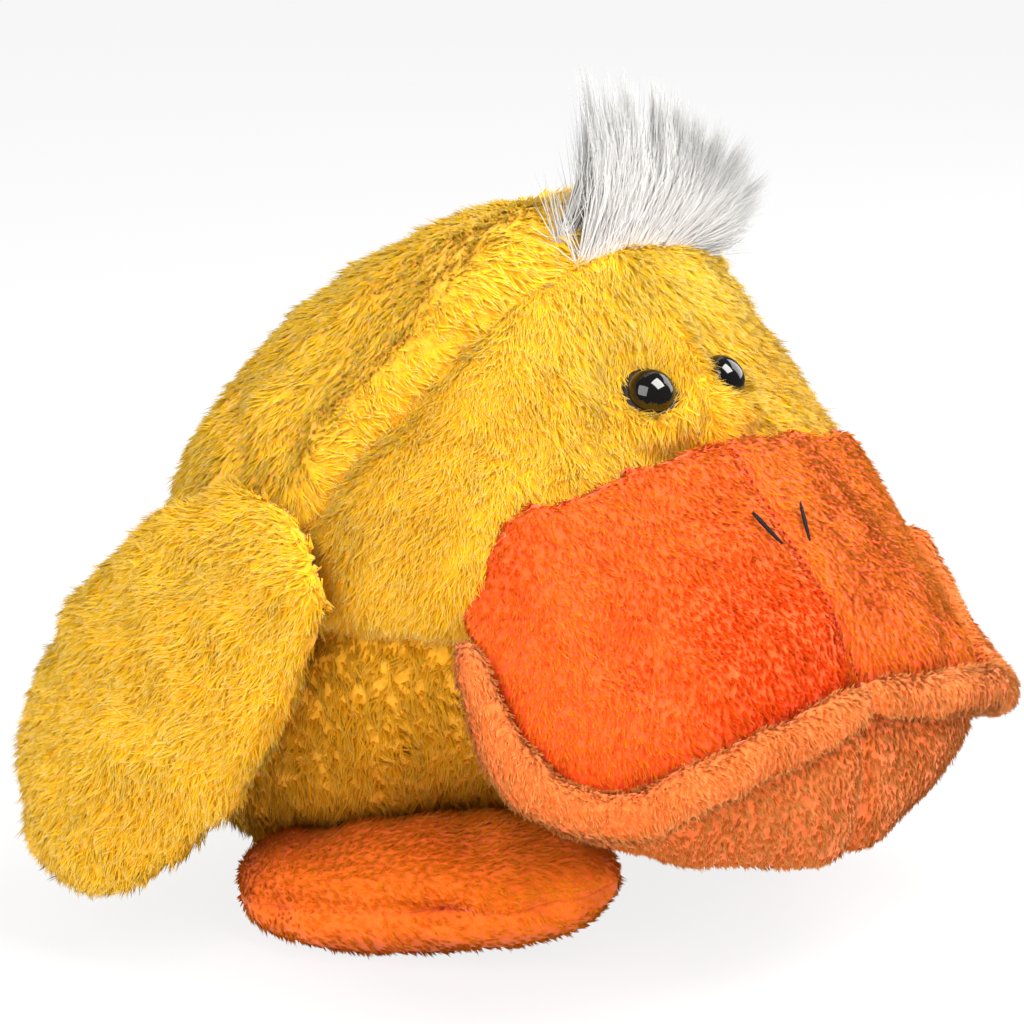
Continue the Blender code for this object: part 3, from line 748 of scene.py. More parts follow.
@dataclass(frozen=True)
class Chance:
    """How unevenly pile lies. A pair holds what varies by clump and what varies in waves.

    Attributes:
        stray: Of the combing's direction, against the pile's own stray.
        lift: Of how far it stands up, in degrees.
        reach: Share of its length.
        tone: Of how light its nap looks.
        sizes: Size in millimetres of the waves in stray, lift, reach and tone.
        strand_tone: How unevenly light the strands of one clump are.
        shorter: Share of their length that strands of one clump lose at most.
        fray: How far single strands leave the clump's way.
        width: Share of a strand's width.
        widths: The narrowest and the widest strand, against the usual.
    """

    stray: tuple[float, float] = (1.0, 0.9)
    lift: tuple[float, float] = (7.0, 6.0)
    reach: tuple[float, float] = (0.14, 0.12)
    tone: tuple[float, float] = (0.13, 0.10)
    sizes: tuple[float, float, float, float] = (22.0, 15.0, 12.0, 30.0)
    strand_tone: float = 0.12
    shorter: float = 0.22
    fray: float = 0.07
    width: float = 0.2
    widths: tuple[float, float] = (0.4, 1.7)


@dataclass(frozen=True)
class Pile:
    """How the pile of a fabric grows. Lengths are in millimetres.

    Attributes:
        finish: Its colours.
        density: Clumps on a square centimetre.
        strands: Strands in a clump.
        length: A strand's length.
        width: A strand's width at the root.
        lift: Degrees that the strands stand up from the fabric.
        spread: How far the roots of a clump spread.
        gather: Share by which the tips of a clump draw together.
        bow: How far a strand arches, as a share of its length.
        rings: Rings of points along a strand between root and tip.
        stray: Degrees that clumps stray from the combing.
        soft: Share by which strands are shaded like the fabric under them.
        sunk: How deep the roots lie in the fabric, in strand widths.
        pointed: How late a strand narrows to its tip.
        pressed_tone: How much shade is painted into it for each millimetre that a fold presses in.
        pressed_reach: Share of its length that it loses for each of these.
        pressed_most: How many millimetres of a fold count.
        chance: How unevenly it lies.
    """

    finish: PileFinish
    density: float
    strands: int = 4
    length: float = 7.0
    width: float = 0.9
    lift: float = 38.0
    spread: float = 0.7
    gather: float = 0.6
    bow: float = 0.16
    rings: int = 1
    stray: float = 16.0
    soft: float = 0.6
    sunk: float = 0.4
    pointed: float = 2.2
    pressed_tone: float = 0.14
    pressed_reach: float = 0.08
    pressed_most: float = 3.0
    chance: Chance = Chance()

    def strand(self) -> tuple[Array, Array, list[list[int]]]:
        """One strand: the cross place and share of the length of each point, and its faces."""
        shape = bmesh.new()
        bmesh.ops.create_cone(
            shape, cap_ends=True, segments=3, radius1=1.0, radius2=0.0, depth=1.0
        )
        bmesh.ops.translate(shape, verts=shape.verts, vec=(0.0, 0.0, 0.5))
        for ring in range(1, self.rings + 1):
            whole = shape.verts[:] + shape.edges[:] + shape.faces[:]
            level = Vector((0.0, 0.0, ring / (self.rings + 1)))
            bmesh.ops.bisect_plane(
                shape, geom=whole, dist=MERGE, plane_co=level, plane_no=(0.0, 0.0, 1.0)
            )
        shape.verts.index_update()
        points = np.array([vertex.co for vertex in shape.verts], float)
        along = points[:, 2]
        taper = np.maximum(1 - along, 1e-6)
        full = 1 - along**self.pointed
        across = points[:, :2] / taper[:, None] * full[:, None]
        faces = [[vertex.index for vertex in face.verts] for face in shape.faces]
        shape.free()
        return across, along, faces

    def strand_mesh(
        self, name: str, roots: Array, bends: Array, tips: Array, ups: Array,
        widths: Array, shades: Array,
    ) -> bpy.types.Mesh:
        """Makes a mesh of many strands, each an arc through three points.

        Args:
            name: The mesh's name.
            roots: Where each strand starts.
            bends: The middle control point of each strand's arc.
            tips: Where each strand ends.
            ups: The way up from the fabric at each strand.
            widths: Each strand's width at its root.
            shades: Each strand's place from dark, 0, to light, 1.

        Returns:
            The mesh, with its shade and length in the pile's map.
        """
        across, along, faces = self.strand()
        side = unit(np.cross(tips - roots, ups))
        over = unit(np.cross(tips - roots, side))
        part = along[None, :, None]
        line = (
            (1 - part) ** 2 * roots[:, None]
            + 2 * part * (1 - part) * bends[:, None]
            + part**2 * tips[:, None]
        )
        ring = across[None, :, 0, None] * side[:, None] + across[None, :, 1, None] * over[:, None]
        points = line + ring * widths[:, None, None] / 2
        points[..., 2] = np.maximum(points[..., 2], MERGE)
        ways = unit(ring + (tips - roots)[:, None] * 1e-3)
        ways = unit(ways * (1 - self.soft) + ups[:, None] * self.soft)
        count, size = len(roots), len(along)
        corner = np.concatenate([np.array(face) for face in faces])
        sizes = np.array([len(face) for face in faces])
        loops = (np.arange(count)[:, None] * size + corner[None]).ravel()
        starts = np.concatenate([[0], np.cumsum(np.tile(sizes, count))[:-1]])
        mesh = bpy.data.meshes.new(name)
        mesh.vertices.add(count * size)
        mesh.vertices.foreach_set("co", points.astype(np.float32).ravel())
        mesh.loops.add(len(loops))
        mesh.loops.foreach_set("vertex_index", loops.astype(np.int32))
        mesh.polygons.add(len(starts))
        mesh.polygons.foreach_set("loop_start", starts.astype(np.int32))
        mesh.update(calc_edges=True)
        shade = MAP_EDGE + MAP_ROUND / 2 + (1 - 2 * (MAP_EDGE + MAP_ROUND / 2)) * shades[:, None]
        shade = shade + MAP_ROUND * across[None, :, 0]
        level = np.broadcast_to(MAP_EDGE + (1 - 2 * MAP_EDGE) * along[None, :], shade.shape)
        chart = np.stack([shade, level], axis=2).reshape(-1, 2)
        layer = mesh.uv_layers.new(name=PILE_MAP)
        layer.uv.foreach_set("vector", chart[loops].astype(np.float32).ravel())
        mesh.shade_smooth()
        mesh.normals_split_custom_set_from_vertices(ways.reshape(-1, 3).tolist())
        return mesh

    def grow(
        self, name: str, patch: Form, combing: Combing, seed: int,
        off: Sequence[tuple["Skin | EyePlace", float]] = (), seams: Sequence[Seam] = (),
        creases: Sequence[Fold] = (),
    ) -> bpy.types.Object:
        """Grows the pile on an open patch of fabric.

        Args:
            name: The new piece's name.
            patch: The fabric's outside.
            combing: The way in which it lies, and the light and shade painted into its nap.
            seed: Which random pile it is.
            off: Other forms, each with how far from it no pile grows.
            seams: The seams in which it is short and painted dark as shade.
            creases: The folds in which it is painted darker as shade.

        Returns:
            The pile, as one piece.
        """
        draw = np.random.default_rng(seed)
        corners, shares = self.scatter(patch, draw)
        spots, ways = patch.places()
        clear = np.ones(len(corners), bool)
        for skin, margin in off:
            clear &= (skin.gaps(spots)[corners] * shares).sum(1) > margin
        corners, shares = corners[clear], shares[clear]
        points = (spots[corners] * shares[..., None]).sum(1)
        normals = unit((ways[corners] * shares[..., None]).sum(1))
        chance, count = self.chance, len(points)

        def uneven(usual: float, amounts: tuple[float, float], wave: int) -> Array:
            """A usual value for each clump, varied by clump and in waves."""
            by_clump = usual + amounts[0] * draw.normal(size=count)
            size = chance.sizes[wave] * MM
            return by_clump + amounts[1] * waves(points, size, seed + wave + 1)

        way, nap = combing.ways(points)
        way = unit(flat_on(way, normals))
        square = np.cross(normals, way)
        turn = np.radians(self.stray) * uneven(0.0, chance.stray, 0)
        way = way * np.cos(turn)[:, None] + square * np.sin(turn)[:, None]
        lift = np.radians(uneven(self.lift, chance.lift, 1))
        heading = way * np.cos(lift)[:, None] + normals * np.sin(lift)[:, None]
        reach = self.length * MM * (1 + chance.reach[0] * draw.normal(size=count))
        reach *= 1 + chance.reach[1] * waves(points, chance.sizes[2] * MM, seed + 3)
        # The combing's tones paint light and shade into the nap, on top of the strands' random tone.
        tone = uneven(0.5, chance.tone, 3) + nap
        # Painted shade: seams and pressed-in folds darken the pile, where shade falls.
        for seam in seams:
            near = seam.near(points)
            reach *= 1 - seam.shorten * near
            tone -= seam.darken * near
        pressed = (folded(creases, points) / MM).clip(0.0, self.pressed_most)
        tone -= self.pressed_tone * pressed
        reach *= 1 - self.pressed_reach * pressed
        first = np.repeat(np.arange(count), self.strands)
        total = len(first)
        points, normals, way, heading = points[first], normals[first], way[first], heading[first]
        square = np.cross(normals, way)
        offset = self.spread * MM * (
            draw.normal(size=(total, 1)) * way + draw.normal(size=(total, 1)) * square
        )
        length = (reach[first] * (1 - chance.shorter * draw.random(total)))[:, None]
        roots = points + offset - normals * self.width * MM * self.sunk
        fray = chance.fray * draw.normal(size=(total, 3))
        tips = points + offset * (1 - self.gather) + (heading + fray) * length
        bends = (roots + tips) / 2 + normals * self.bow * length * 2
        uneven_width = (1 + chance.width * draw.normal(size=total)).clip(*chance.widths)
        widths = self.width * MM * uneven_width
        shades = (tone[first] + chance.strand_tone * draw.normal(size=total)).clip(0.0, 1.0)
        made = self.strand_mesh(name, roots, bends, tips, normals, widths, shades)
        return new_object(name, made, self.finish.material())

    def scatter(self, patch: Form, draw: np.random.Generator) -> tuple[Array, Array]:
        """Places for the clumps, spread evenly over a patch.

        Args:
            patch: The fabric's outside.
            draw: Where random numbers come from.

        Returns:
            The three vertices round each place, and the share of each in it.
        """
        patch.shape.verts.index_update()
        loops = patch.shape.calc_loop_triangles()
        triangles = np.array([[loop.vert.index for loop in three] for three in loops])
        spots, _ = patch.places()
        first, second, third = (spots[triangles[:, index]] for index in range(3))
        area = np.linalg.norm(np.cross(second - first, third - first), axis=1) / 2
        wanted = np.floor(area * self.density * 1e4 + draw.random(len(area))).astype(int)
        chosen = np.repeat(np.arange(len(area)), wanted)
        one, two = draw.random(len(chosen)), draw.random(len(chosen))
        over = one + two > 1
        one, two = np.where(over, 1 - one, one), np.where(over, 1 - two, two)
        return triangles[chosen], np.stack([1 - one - two, one, two], axis=1)


def plane_gap(points: Array, point: Vector, normal: Vector) -> Array:
    """How far points lie in front of a plane."""
    return (points - np.array(point)) @ np.array(normal.normalized())


def dress(
    piece: bpy.types.Object, body: str, replaces: Sequence[str] = (),
) -> None:
    """Says what a piece rides on and stands for, and logs it.

    Args:
        piece: The finished piece.
        body: The CAD body that it moves with.
        replaces: The CAD nodes that it stands for.
    """
    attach(piece, body)
    if replaces:
        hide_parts(*replaces)
    report(piece)


def seat(
    form: Form, skin: Skin, depth: float, reach: float = 3.0 * MM, slope: float = 0.6,
) -> None:
    """Sinks what lies against another form a little way into it.

    Args:
        form: The form to seat.
        skin: The skin of the form that carries it.
        depth: How far it sinks, in metres.
        reach: How near it has to lie to sink, in metres.
        slope: Share of the reach over which it starts to sink.
    """
    points, normals = form.places()
    moved = points.copy()
    gaps = skin.gaps(points)
    for index in np.flatnonzero(gaps < reach):
        _, way, _, _ = skin.faces.find_nearest(Vector(points[index]))
        if Vector(normals[index]).dot(way) > 0:
            continue
        share = min(1.0, (reach - gaps[index]) / (reach * slope))
        moved[index] -= np.array(way) * depth * share
    form.set_places(moved)


def halves(form: Form) -> dict[Side, Form]:
    """Cuts a form in the duck's middle, into the part on each of its sides."""
    middle, across = Vector(), Vector((1.0, 0.0, 0.0))
    keeps = {Side.RIGHT: Keep.BACK, Side.LEFT: Keep.FRONT}
    return {side: form.copy().cut(middle, across, keep) for side, keep in keeps.items()}


@dataclass(frozen=True)
class Plush:
    """A fabric with pile on it, from which the panels of a sewn form are cut.

    Attributes:
        slot: The record's material slot; not used.
        backing: The fabric's finish.
        thickness: The fabric's thickness.
        fill: How full the form is stuffed; not used.
    """

    slot: str
    backing: ClothFinish
    thickness: float
    fill: float

    def sew(
        self, name: str, patch: Form, body: str, node: str, pile: Pile, combing: Combing,
        off: Sequence[tuple["Skin | EyePlace", float]], seams: Sequence[Seam],
        creases: Sequence[Fold] = (), seed: int | None = None,
    ) -> None:
        """Makes one panel and its pile.

        Args:
            name: The pieces' name, with braces where it says fabric or pile.
            patch: The panel's outside.
            body: The CAD body that it moves with.
            node: The CAD node that it stands for.
            pile: How its pile grows.
            combing: The way in which that lies.
            off: Other forms, each with how far from it no pile grows.
            seams: The seams in which the pile is short and painted dark as shade.
            creases: The folds in which it is painted darker as shade.
            seed: Which random pile it is, if that isn't told from the name.
        """
        word = name.format("fabric")
        fabric = patch.shell(word, self.thickness, self.backing.material())
        dress(fabric, body, [node])
        seed = sum(map(ord, word)) if seed is None else seed
        grown = pile.grow(name.format("pile"), patch, combing, seed, off, seams, creases)
        dress(grown, body)


@dataclass(frozen=True)
class Stuffing:
    """What a sewn form is filled with.

    Attributes:
        slot: The record's material slot; not used.
        finish: Its finish.
        fill: How full it is; not used.
        voxel: Size of the remesh's voxels.
        smooth: How often it is rounded.
    """

    slot: str = "filling"
    finish: ClothFinish = FIBRE
    fill: float = 0.8
    voxel: float = 4.5 * MM
    smooth: int = 4

    def stuff(self, name: str, body: str, node: str, skin: Skin, depth: float) -> None:
        """Makes the filling of a sewn form, a little inside its fabric.

        Args:
            name: The piece's name.
            body: The CAD body that it moves with.
            node: The CAD node that it stands for.
            skin: The fabric's outside.
            depth: How deep under that the filling starts, in metres.
        """
        form = Form.of_nodes([node], self.voxel)
        form.smooth(self.smooth)
        form.tuck(skin, depth)
        made = form.solid(name, self.finish.material())
        dress(made, body, [node])


@dataclass
class EyePlace:
    """Where an eye sits, as its CAD solid has it, and which way it looks.

    Attributes:
        centre: Middle of the eye's back.
        shank: The way out along its shank.
        axis: The way in which the eye looks.
        radius: Its radius.
        height: Its height over its back.
    """

    RIM: ClassVar[float] = 0.98     # share of its radius beyond which a point is on its rim

    centre: Vector
    shank: Vector
    axis: Vector
    radius: float
    height: float

    @classmethod
    def of(cls, side: Side, turned_out: float = 30.0, tipped_up: float = 43.0) -> "EyePlace":
        """Finds an eye's place and sizes from its turned CAD solid.

        Args:
            side: Which eye.
            turned_out: Degrees that it looks outward.
            tipped_up: Degrees that it looks upward.
        """
        node = frame["nodes"][f"eye_{side.word}"]
        points = np.array([vertex.co for vertex in node.data.vertices], float)
        middle = points.mean(0)
        values, ways = np.linalg.eigh(np.cov((points - middle).T))
        odd = int(np.argmax(np.abs(values - np.median(values))))
        shank = ways[:, odd] * (-1 if ways[1, odd] > 0 else 1)
        height = (points - middle) @ shank
        across = np.linalg.norm(points - middle - height[:, None] * shank, axis=1)
        radius = across.max()
        back = height[across > radius * cls.RIM].min()
        out, up = math.radians(turned_out), math.radians(tipped_up)
        axis = Vector((
            side.value * math.sin(out) * math.cos(up), -math.cos(out) * math.cos(up), math.sin(up)
        ))
        centre = Vector(middle + shank * back)
        return cls(centre, Vector(shank), axis, radius, height.max() - back)

    def measure(self, points: Array) -> tuple[Array, Array]:
        """How high points lie over the eye's back, and how far from its axis."""
        apart = points - np.array(self.centre)
        height = apart @ np.array(self.axis)
        return height, np.linalg.norm(apart - np.outer(height, np.array(self.axis)), axis=1)

    def gaps(self, points: Array, reach: float = 12.0 * MM) -> Array:
        """How far points lie outside the eye's rim, up to a reach."""
        height, across = self.measure(points)
        return np.where(np.abs(height) < reach, np.minimum(across - self.radius, reach), reach)


@dataclass
class Body:
    """The yellow body: face, back and belly panels round fibre and a bag of pellets.

    A pair of lengths is where along Z or ahead of the seam a change starts and ends.

    Attributes:
        plush: What its panels are cut from.
        voxel: Size of the remesh's voxels.
        inset: How deep the fabric lies under the pile's outside, which the CAD gives.
        rounding: How often the form is smoothed.
        seam_lean: Degrees that the seam between face and back leans forward.
        seam_forward: Where that seam crosses the crown.
        side_sink: Depth and width of that seam.
        middle_sink: Depth and width of the seam along the middle.
        middle_ease: Share of that depth that is lost on the face.
        crease_sink: Depth and width of the crease at the neck.
        front: Where across the seam the crease starts.
        overhang: How far the face hangs over the crease.
        overhang_rise: Heights over the crease between which the overhang grows.
        overhang_fall: Heights between which it is lost again.
        below_sink: How far the belly lies back under the crease.
        below_rise: Heights between which it goes back.
        below_fall: Heights between which it comes out to the crease.
        brow_place: Middle of the ridge between the eyes, in millimetres.
        brow_size: The ridge's reach across, ahead and up, in millimetres.
        brow_height: How far the ridge stands out.
        brow_back: How far behind its middle the ridge ends.
        unevenness: Height and size of the gentle waves over all of it.
        under_eye: Height of the fabric behind an eye, over the eye's back.
        collar: Height of the fabric round an eye, over the eye's back.
        collar_below: How much higher it is under the eye, as a share.
        eye_bed: Shares of the eye's radius between which fabric rises to the collar.
        eye_reach: Shares between which the collar passes into the face.
        bare_rim: How far under an eye's rim the pile still grows.
        folds: The body's folds and soft ridges.
        pulls: Soft pulls that set its outline right.
    """

    plush: Plush = Plush("yellow_plush", YELLOW_BACKING, 1.2 * MM, 0.9)
    voxel: float = 2.9 * MM
    inset: float = 3.0 * MM
    rounding: int = 14
    seam_lean: float = 27.3
    seam_forward: float = 48.0 * MM
    side_sink: tuple[float, float] = (3.2 * MM, 3.6 * MM)
    middle_sink: tuple[float, float] = (1.2 * MM, 2.6 * MM)
    middle_ease: float = 0.3
    crease_sink: tuple[float, float] = (6.0 * MM, 4.5 * MM)
    front: tuple[float, float] = (-4 * MM, 6 * MM)
    overhang: float = 3.0 * MM
    overhang_rise: tuple[float, float] = (0.0, 4 * MM)
    overhang_fall: tuple[float, float] = (8 * MM, 34 * MM)
    below_sink: float = 2.5 * MM
    below_rise: tuple[float, float] = (-60 * MM, -6 * MM)
    below_fall: tuple[float, float] = (-4 * MM, 0.0)
    brow_place: tuple[float, float, float] = (0.0, -68.0, 156.0)
    brow_size: tuple[float, float, float] = (8.5, 30.0, 21.0)
    brow_height: float = 8.0 * MM
    brow_back: float = 30 * MM
    unevenness: tuple[float, float] = (0.7 * MM, 34 * MM)
    under_eye: float = -1.2 * MM
    collar: float = 1.5 * MM
    collar_below: float = 2.4
    eye_bed: tuple[float, float] = (0.85, 1.12)
    eye_reach: tuple[float, float] = (1.25, 1.9)
    bare_rim: float = 0.4 * MM
    folds: tuple[Fold, ...] = (
        Fold(((-24, -29, 199), (-44, -30, 189), (-57, -24, 174), (-71, -19, 157),
              (-80, -10, 145), (-89, -4, 132)), -3.8, 8.0),
        Fold(((-30, -8, 200), (-50, -6, 187), (-68, 4, 168), (-78, 12, 152)), 0.5, 8.0),
        Fold(((-58, 56, 150), (-77, 33, 142), (-88, 20, 132)), 2.6, 5.0),
        Fold(((-73, 14, 154), (-83, 2, 141), (-92, -9, 127)), 2.2, 4.5),
        Fold(((-70, 32, 150), (-84, 12, 138)), -1.6, 7.0),
        Fold(((-93, -22, 118), (-96, -32, 98)), 2.5, 8.0),
        Fold(((-50, -82, 141), (-71, -75, 130), (-83, -67, 115), (-88, -66, 101)), -4.5, 8.0),
    )
    pulls: tuple[Pull, ...] = (
        Pull((-22, -47, 192), (0, 0, 4.0), 26.0),
        Pull((22, -47, 192), (0, 0, 4.0), 26.0),
    )
    WAVES: ClassVar[int] = 11       # which pattern its gentle waves are
    BELLY: ClassVar[int] = 31       # which random pile its belly has
    outside: Skin | None = field(default=None, init=False)
    skin: Skin | None = field(default=None, init=False)
    crown: Vector = field(default_factory=Vector, init=False)

    def __post_init__(self) -> None:
        """Reads the seams' places from the CAD."""
        low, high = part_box("face_panel_right")
        self.crown = Vector((0.0, -self.seam_forward, high.z))
        self.crease = low.z
        lean = math.radians(self.seam_lean)
        self.ahead = Vector((0.0, -math.cos(lean), -math.sin(lean)))
        # Each seam's last number is the shade painted into its pile; at the neck it paints the crease's
        # shadow.
        self.centre_seam = Seam((0.0, 0.0, 0.0), (1.0, 0.0, 0.0), 1.6, 0.35, 0.25)
        self.side_seam = Seam(tuple(self.crown), tuple(self.ahead), 1.4, 0.3, 0.6)
        self.neck_seam = Seam((0.0, 0.0, self.crease), (0.0, 0.0, 1.0), 3.5, 0.2, 0.5)

    def nodes(self, *words: str) -> list[str]:
        """The CAD nodes whose names start with one of these words."""
        return [name for name in frame["nodes"] if name.startswith(words)]

    def sculpt(self) -> Form:
        """Makes the body's fabric surface, with its seams, folds, brow and sockets."""
        names = self.nodes("face_panel", "back_panel", "belly", "body_filling", "pellet", "eye")
        form = Form.of_nodes(names, self.voxel)
        for side in Side:
            self.bed_eye(form, side, 0.0, 0.0)
        form.smooth(self.rounding)
        self.outside = form.skin()
        form.sink(lambda points, normals: self.inset + self.seams(points, normals))
        form.push(self.brow)
        form.push(lambda points, normals: folded(self.folds, points))
        for pull in self.pulls:
            form.set_places(pull.moved(form.places()[0]))
        height, size = self.unevenness
        form.push(lambda points, normals: height * waves(points, size, self.WAVES))
        for side in Side:
            self.bed_eye(form, side, self.under_eye, self.collar)
        form.smooth(2)
        self.skin = form.skin()
        return form

    def bed_eye(self, form: Form, side: Side, under: float, collar: float) -> None:
        """Moves the face to one height behind an eye and to another round it.

        Args:
            form: The body's surface.
            side: Which eye.
            under: Height behind the eye, over the eye's back.
            collar: Height round the eye, over the eye's back.
        """
        eye = EyePlace.of(side)
        points, _ = form.places()
        height, across = eye.measure(points)
        below = np.clip((np.array(eye.centre)[2] - points[:, 2]) / eye.radius, 0.0, 1.0)
        raised = collar * (1 + self.collar_below * below)
        bed, reach = (np.array(shares) * eye.radius for shares in (self.eye_bed, self.eye_reach))
        level = under + (raised - under) * ease(across, *bed)
        share = 1 - ease(across, *reach)
        share *= np.abs(height) < 2 * eye.radius
        form.set_places(points + np.outer((level - height) * share, np.array(eye.axis)))

    def seams(self, points: Array, normals: Array) -> Array:
        """How deep the seams and the crease draw the fabric in."""
        ahead = plane_gap(points, self.crown, self.ahead)
        front = ease(ahead, *self.front)
        level = points[:, 2] - self.crease
        above = ease(level, *self.overhang_rise) * (1 - ease(level, *self.overhang_fall))
        below = (1 - ease(level, *self.below_fall)) * ease(level, *self.below_rise)

        def groove(sink: tuple[float, float], apart: Array) -> Array:
            """A groove of a depth and a width."""
            return sink[0] * bell(apart, sink[1])

        return (
            groove(self.side_sink, np.abs(ahead))
            + groove(self.middle_sink, np.abs(points[:, 0])) * (1 - self.middle_ease * front)
            + front * (groove(self.crease_sink, level) - self.overhang * above)
            + front * self.below_sink * below
        )

    def brow(self, points: Array, normals: Array) -> Array:
        """How far in the surface goes at the brow, which stands out between the eyes."""
        middle = np.array(self.brow_place) * MM
        apart = (points - middle) / (np.array(self.brow_size) * MM)
        front = points[:, 1] < middle[1] + self.brow_back
        return -self.brow_height * np.exp(-(apart**2).sum(1)) * front

    def make(self, form: Form, off: Sequence[tuple["Skin | EyePlace", float]]) -> None:
        """Makes the body's panels, pile, fibre and pellet bag.

        Args:
            form: The fabric surface.
            off: The forms on which no pile of the body shows.
        """
        crease, up = Vector((0.0, 0.0, self.crease)), Vector((0.0, 0.0, 1.0))
        front = form.copy().cut(self.crown, self.ahead, Keep.FRONT)
        backs = halves(form.copy().cut(self.crown, self.ahead, Keep.BACK))
        faces = halves(front.copy().cut(crease, up, Keep.FRONT))
        belly = front.cut(crease, up, Keep.BACK)
        seams = (self.centre_seam, self.side_seam)
        for side in Side:
            eye = (EyePlace.of(side), -self.bare_rim)
            self.plush.sew(
                f"face_{{}}_{side.word}", faces[side], "body", f"face_panel_{side.word}",
                FACE_PILE, FACE_COMBING, [*off, eye], (*seams, self.neck_seam), self.folds,
            )
            self.plush.sew(
                f"back_{{}}_{side.word}", backs[side], "body", f"back_panel_{side.word}",
                BACK_PILE, BACK_COMBING, off, seams, self.folds,
            )
        self.plush.sew(
            "belly_{}", belly, "body", "belly_panel", BELLY_PILE, BELLY_COMBING, off,
            (self.neck_seam,), seed=self.BELLY,
        )
        depth = 2.0 * self.plush.thickness
        Stuffing().stuff("body_stuffing", "body", "body_filling", self.skin, depth)
        pellets = Stuffing("bag_cloth", BAG_CLOTH, fill=0.7)
        pellets.stuff("seat_pellet_bag", "body", "pellet_bag", self.skin, depth)


@dataclass
class Eye:
    """A safety eye: a black dome that rises from a glossy brown rim, on a shank.

    Attributes:
        side: Which eye.
        pupil_share: The black dome's share of the eye's radius.
        pupil_reach: How far the rim's top reaches under and round the dome, in its radii.
        rim: The rim's outside: share of the eye's radius, and height.
        rim_height: Height at which the brown rim meets the dome.
        rise: How far over the rim the dome starts, so that they don't share a face.
        shank_radius: The shank's radius.
        shank_length: The shank's length behind the dome.
        shank_tip: The shank's radius at its tip, as a share.
        shank_edge: Share of its length at which the tip's bevel ends.
        shank_top: How far the shank goes into the dome.
        steps: Faces round the eye.
        arcs: Faces from the dome's rim to its top.
    """

    side: Side
    pupil_share: float = 0.8
    pupil_reach: tuple[float, float] = (1.06, 0.9)
    rim: tuple[tuple[float, float], ...] = (
        (0.96, 0.0), (1.0, 0.25 * MM), (0.99, 0.8 * MM), (0.94, 1.3 * MM),
    )
    rim_height: float = 1.7 * MM
    rise: float = 0.02 * MM
    shank_radius: float = 2.1 * MM
    shank_length: float = 8.5 * MM
    shank_tip: float = 0.8
    shank_edge: float = 0.93
    shank_top: float = 0.3 * MM
    steps: int = 64
    arcs: int = 14

    def turned(self, profile: Sequence[tuple[float, float]], place: Matrix) -> bpy.types.Mesh:
        """Spins a closed profile of radius and height round the eye's axis."""
        shape = bmesh.new()
        ring = [shape.verts.new((radius, 0.0, height)) for radius, height in profile]
        edges = [shape.edges.new(pair) for pair in zip(ring, ring[1:])]
        bmesh.ops.spin(
            shape, geom=ring + edges, cent=(0.0, 0.0, 0.0), axis=(0.0, 0.0, 1.0),
            angle=2 * math.pi, steps=self.steps, use_merge=True,
        )
        bmesh.ops.remove_doubles(shape, verts=shape.verts, dist=MERGE / 5)
        bmesh.ops.recalc_face_normals(shape, faces=shape.faces)
        bmesh.ops.transform(shape, matrix=place, verts=shape.verts)
        mesh = bpy.data.meshes.new("eye")
        shape.to_mesh(mesh)
        shape.free()
        return mesh

    def make(self) -> None:
        """Makes the rim, the dome on it and the shank behind."""
        spot = EyePlace.of(self.side)
        pupil = spot.radius * self.pupil_share
        shank = [
            (0.0, -self.shank_length), (self.shank_radius * self.shank_tip, -self.shank_length),
            (self.shank_radius, -self.shank_length * self.shank_edge),
            (self.shank_radius, self.shank_top), (0.0, self.shank_top),
        ]
        rim = [(0.0, 0.0), *((spot.radius * share, height) for share, height in self.rim)]
        rim += [(pupil * share, self.rim_height) for share in (*self.pupil_reach, 0.0)]
        base, height = self.rim_height + self.rise, spot.height - self.rim_height
        turns = [index * math.pi / 2 / self.arcs for index in range(self.arcs + 1)]
        dome = [(0.0, base)]
        dome += [(pupil * math.cos(turn), base + height * math.sin(turn)) for turn in turns]
        word = self.side.word
        parts = (
            ("eye_rim", rim, spot.axis, BROWN_GLOSS, [f"eye_{word}"]),
            ("eye_dome", dome, spot.axis, BLACK_GLOSS, []),
            ("eye_shank", shank, spot.shank, BLACK_GLOSS, []),
        )
        for name, profile, axis, finish, replaced in parts:
            turn = axis.to_track_quat("Z", "Y").to_matrix().to_4x4()
            mesh = self.turned(profile, Matrix.Translation(spot.centre) @ turn)
            made = new_object(f"{name}_{word}", mesh, finish.material())
            dress(made, "body", replaced)


@dataclass
class Washer:
    """The ribbed plastic washer behind an eye."""

    side: Side

    def make(self) -> None:
        """Gives the CAD washer its moulded finish."""
        node = frame["nodes"][f"eye_washer_{self.side.word}"]
        node.data.materials.clear()
        node.data.materials.append(WASHER_PLASTIC.material())


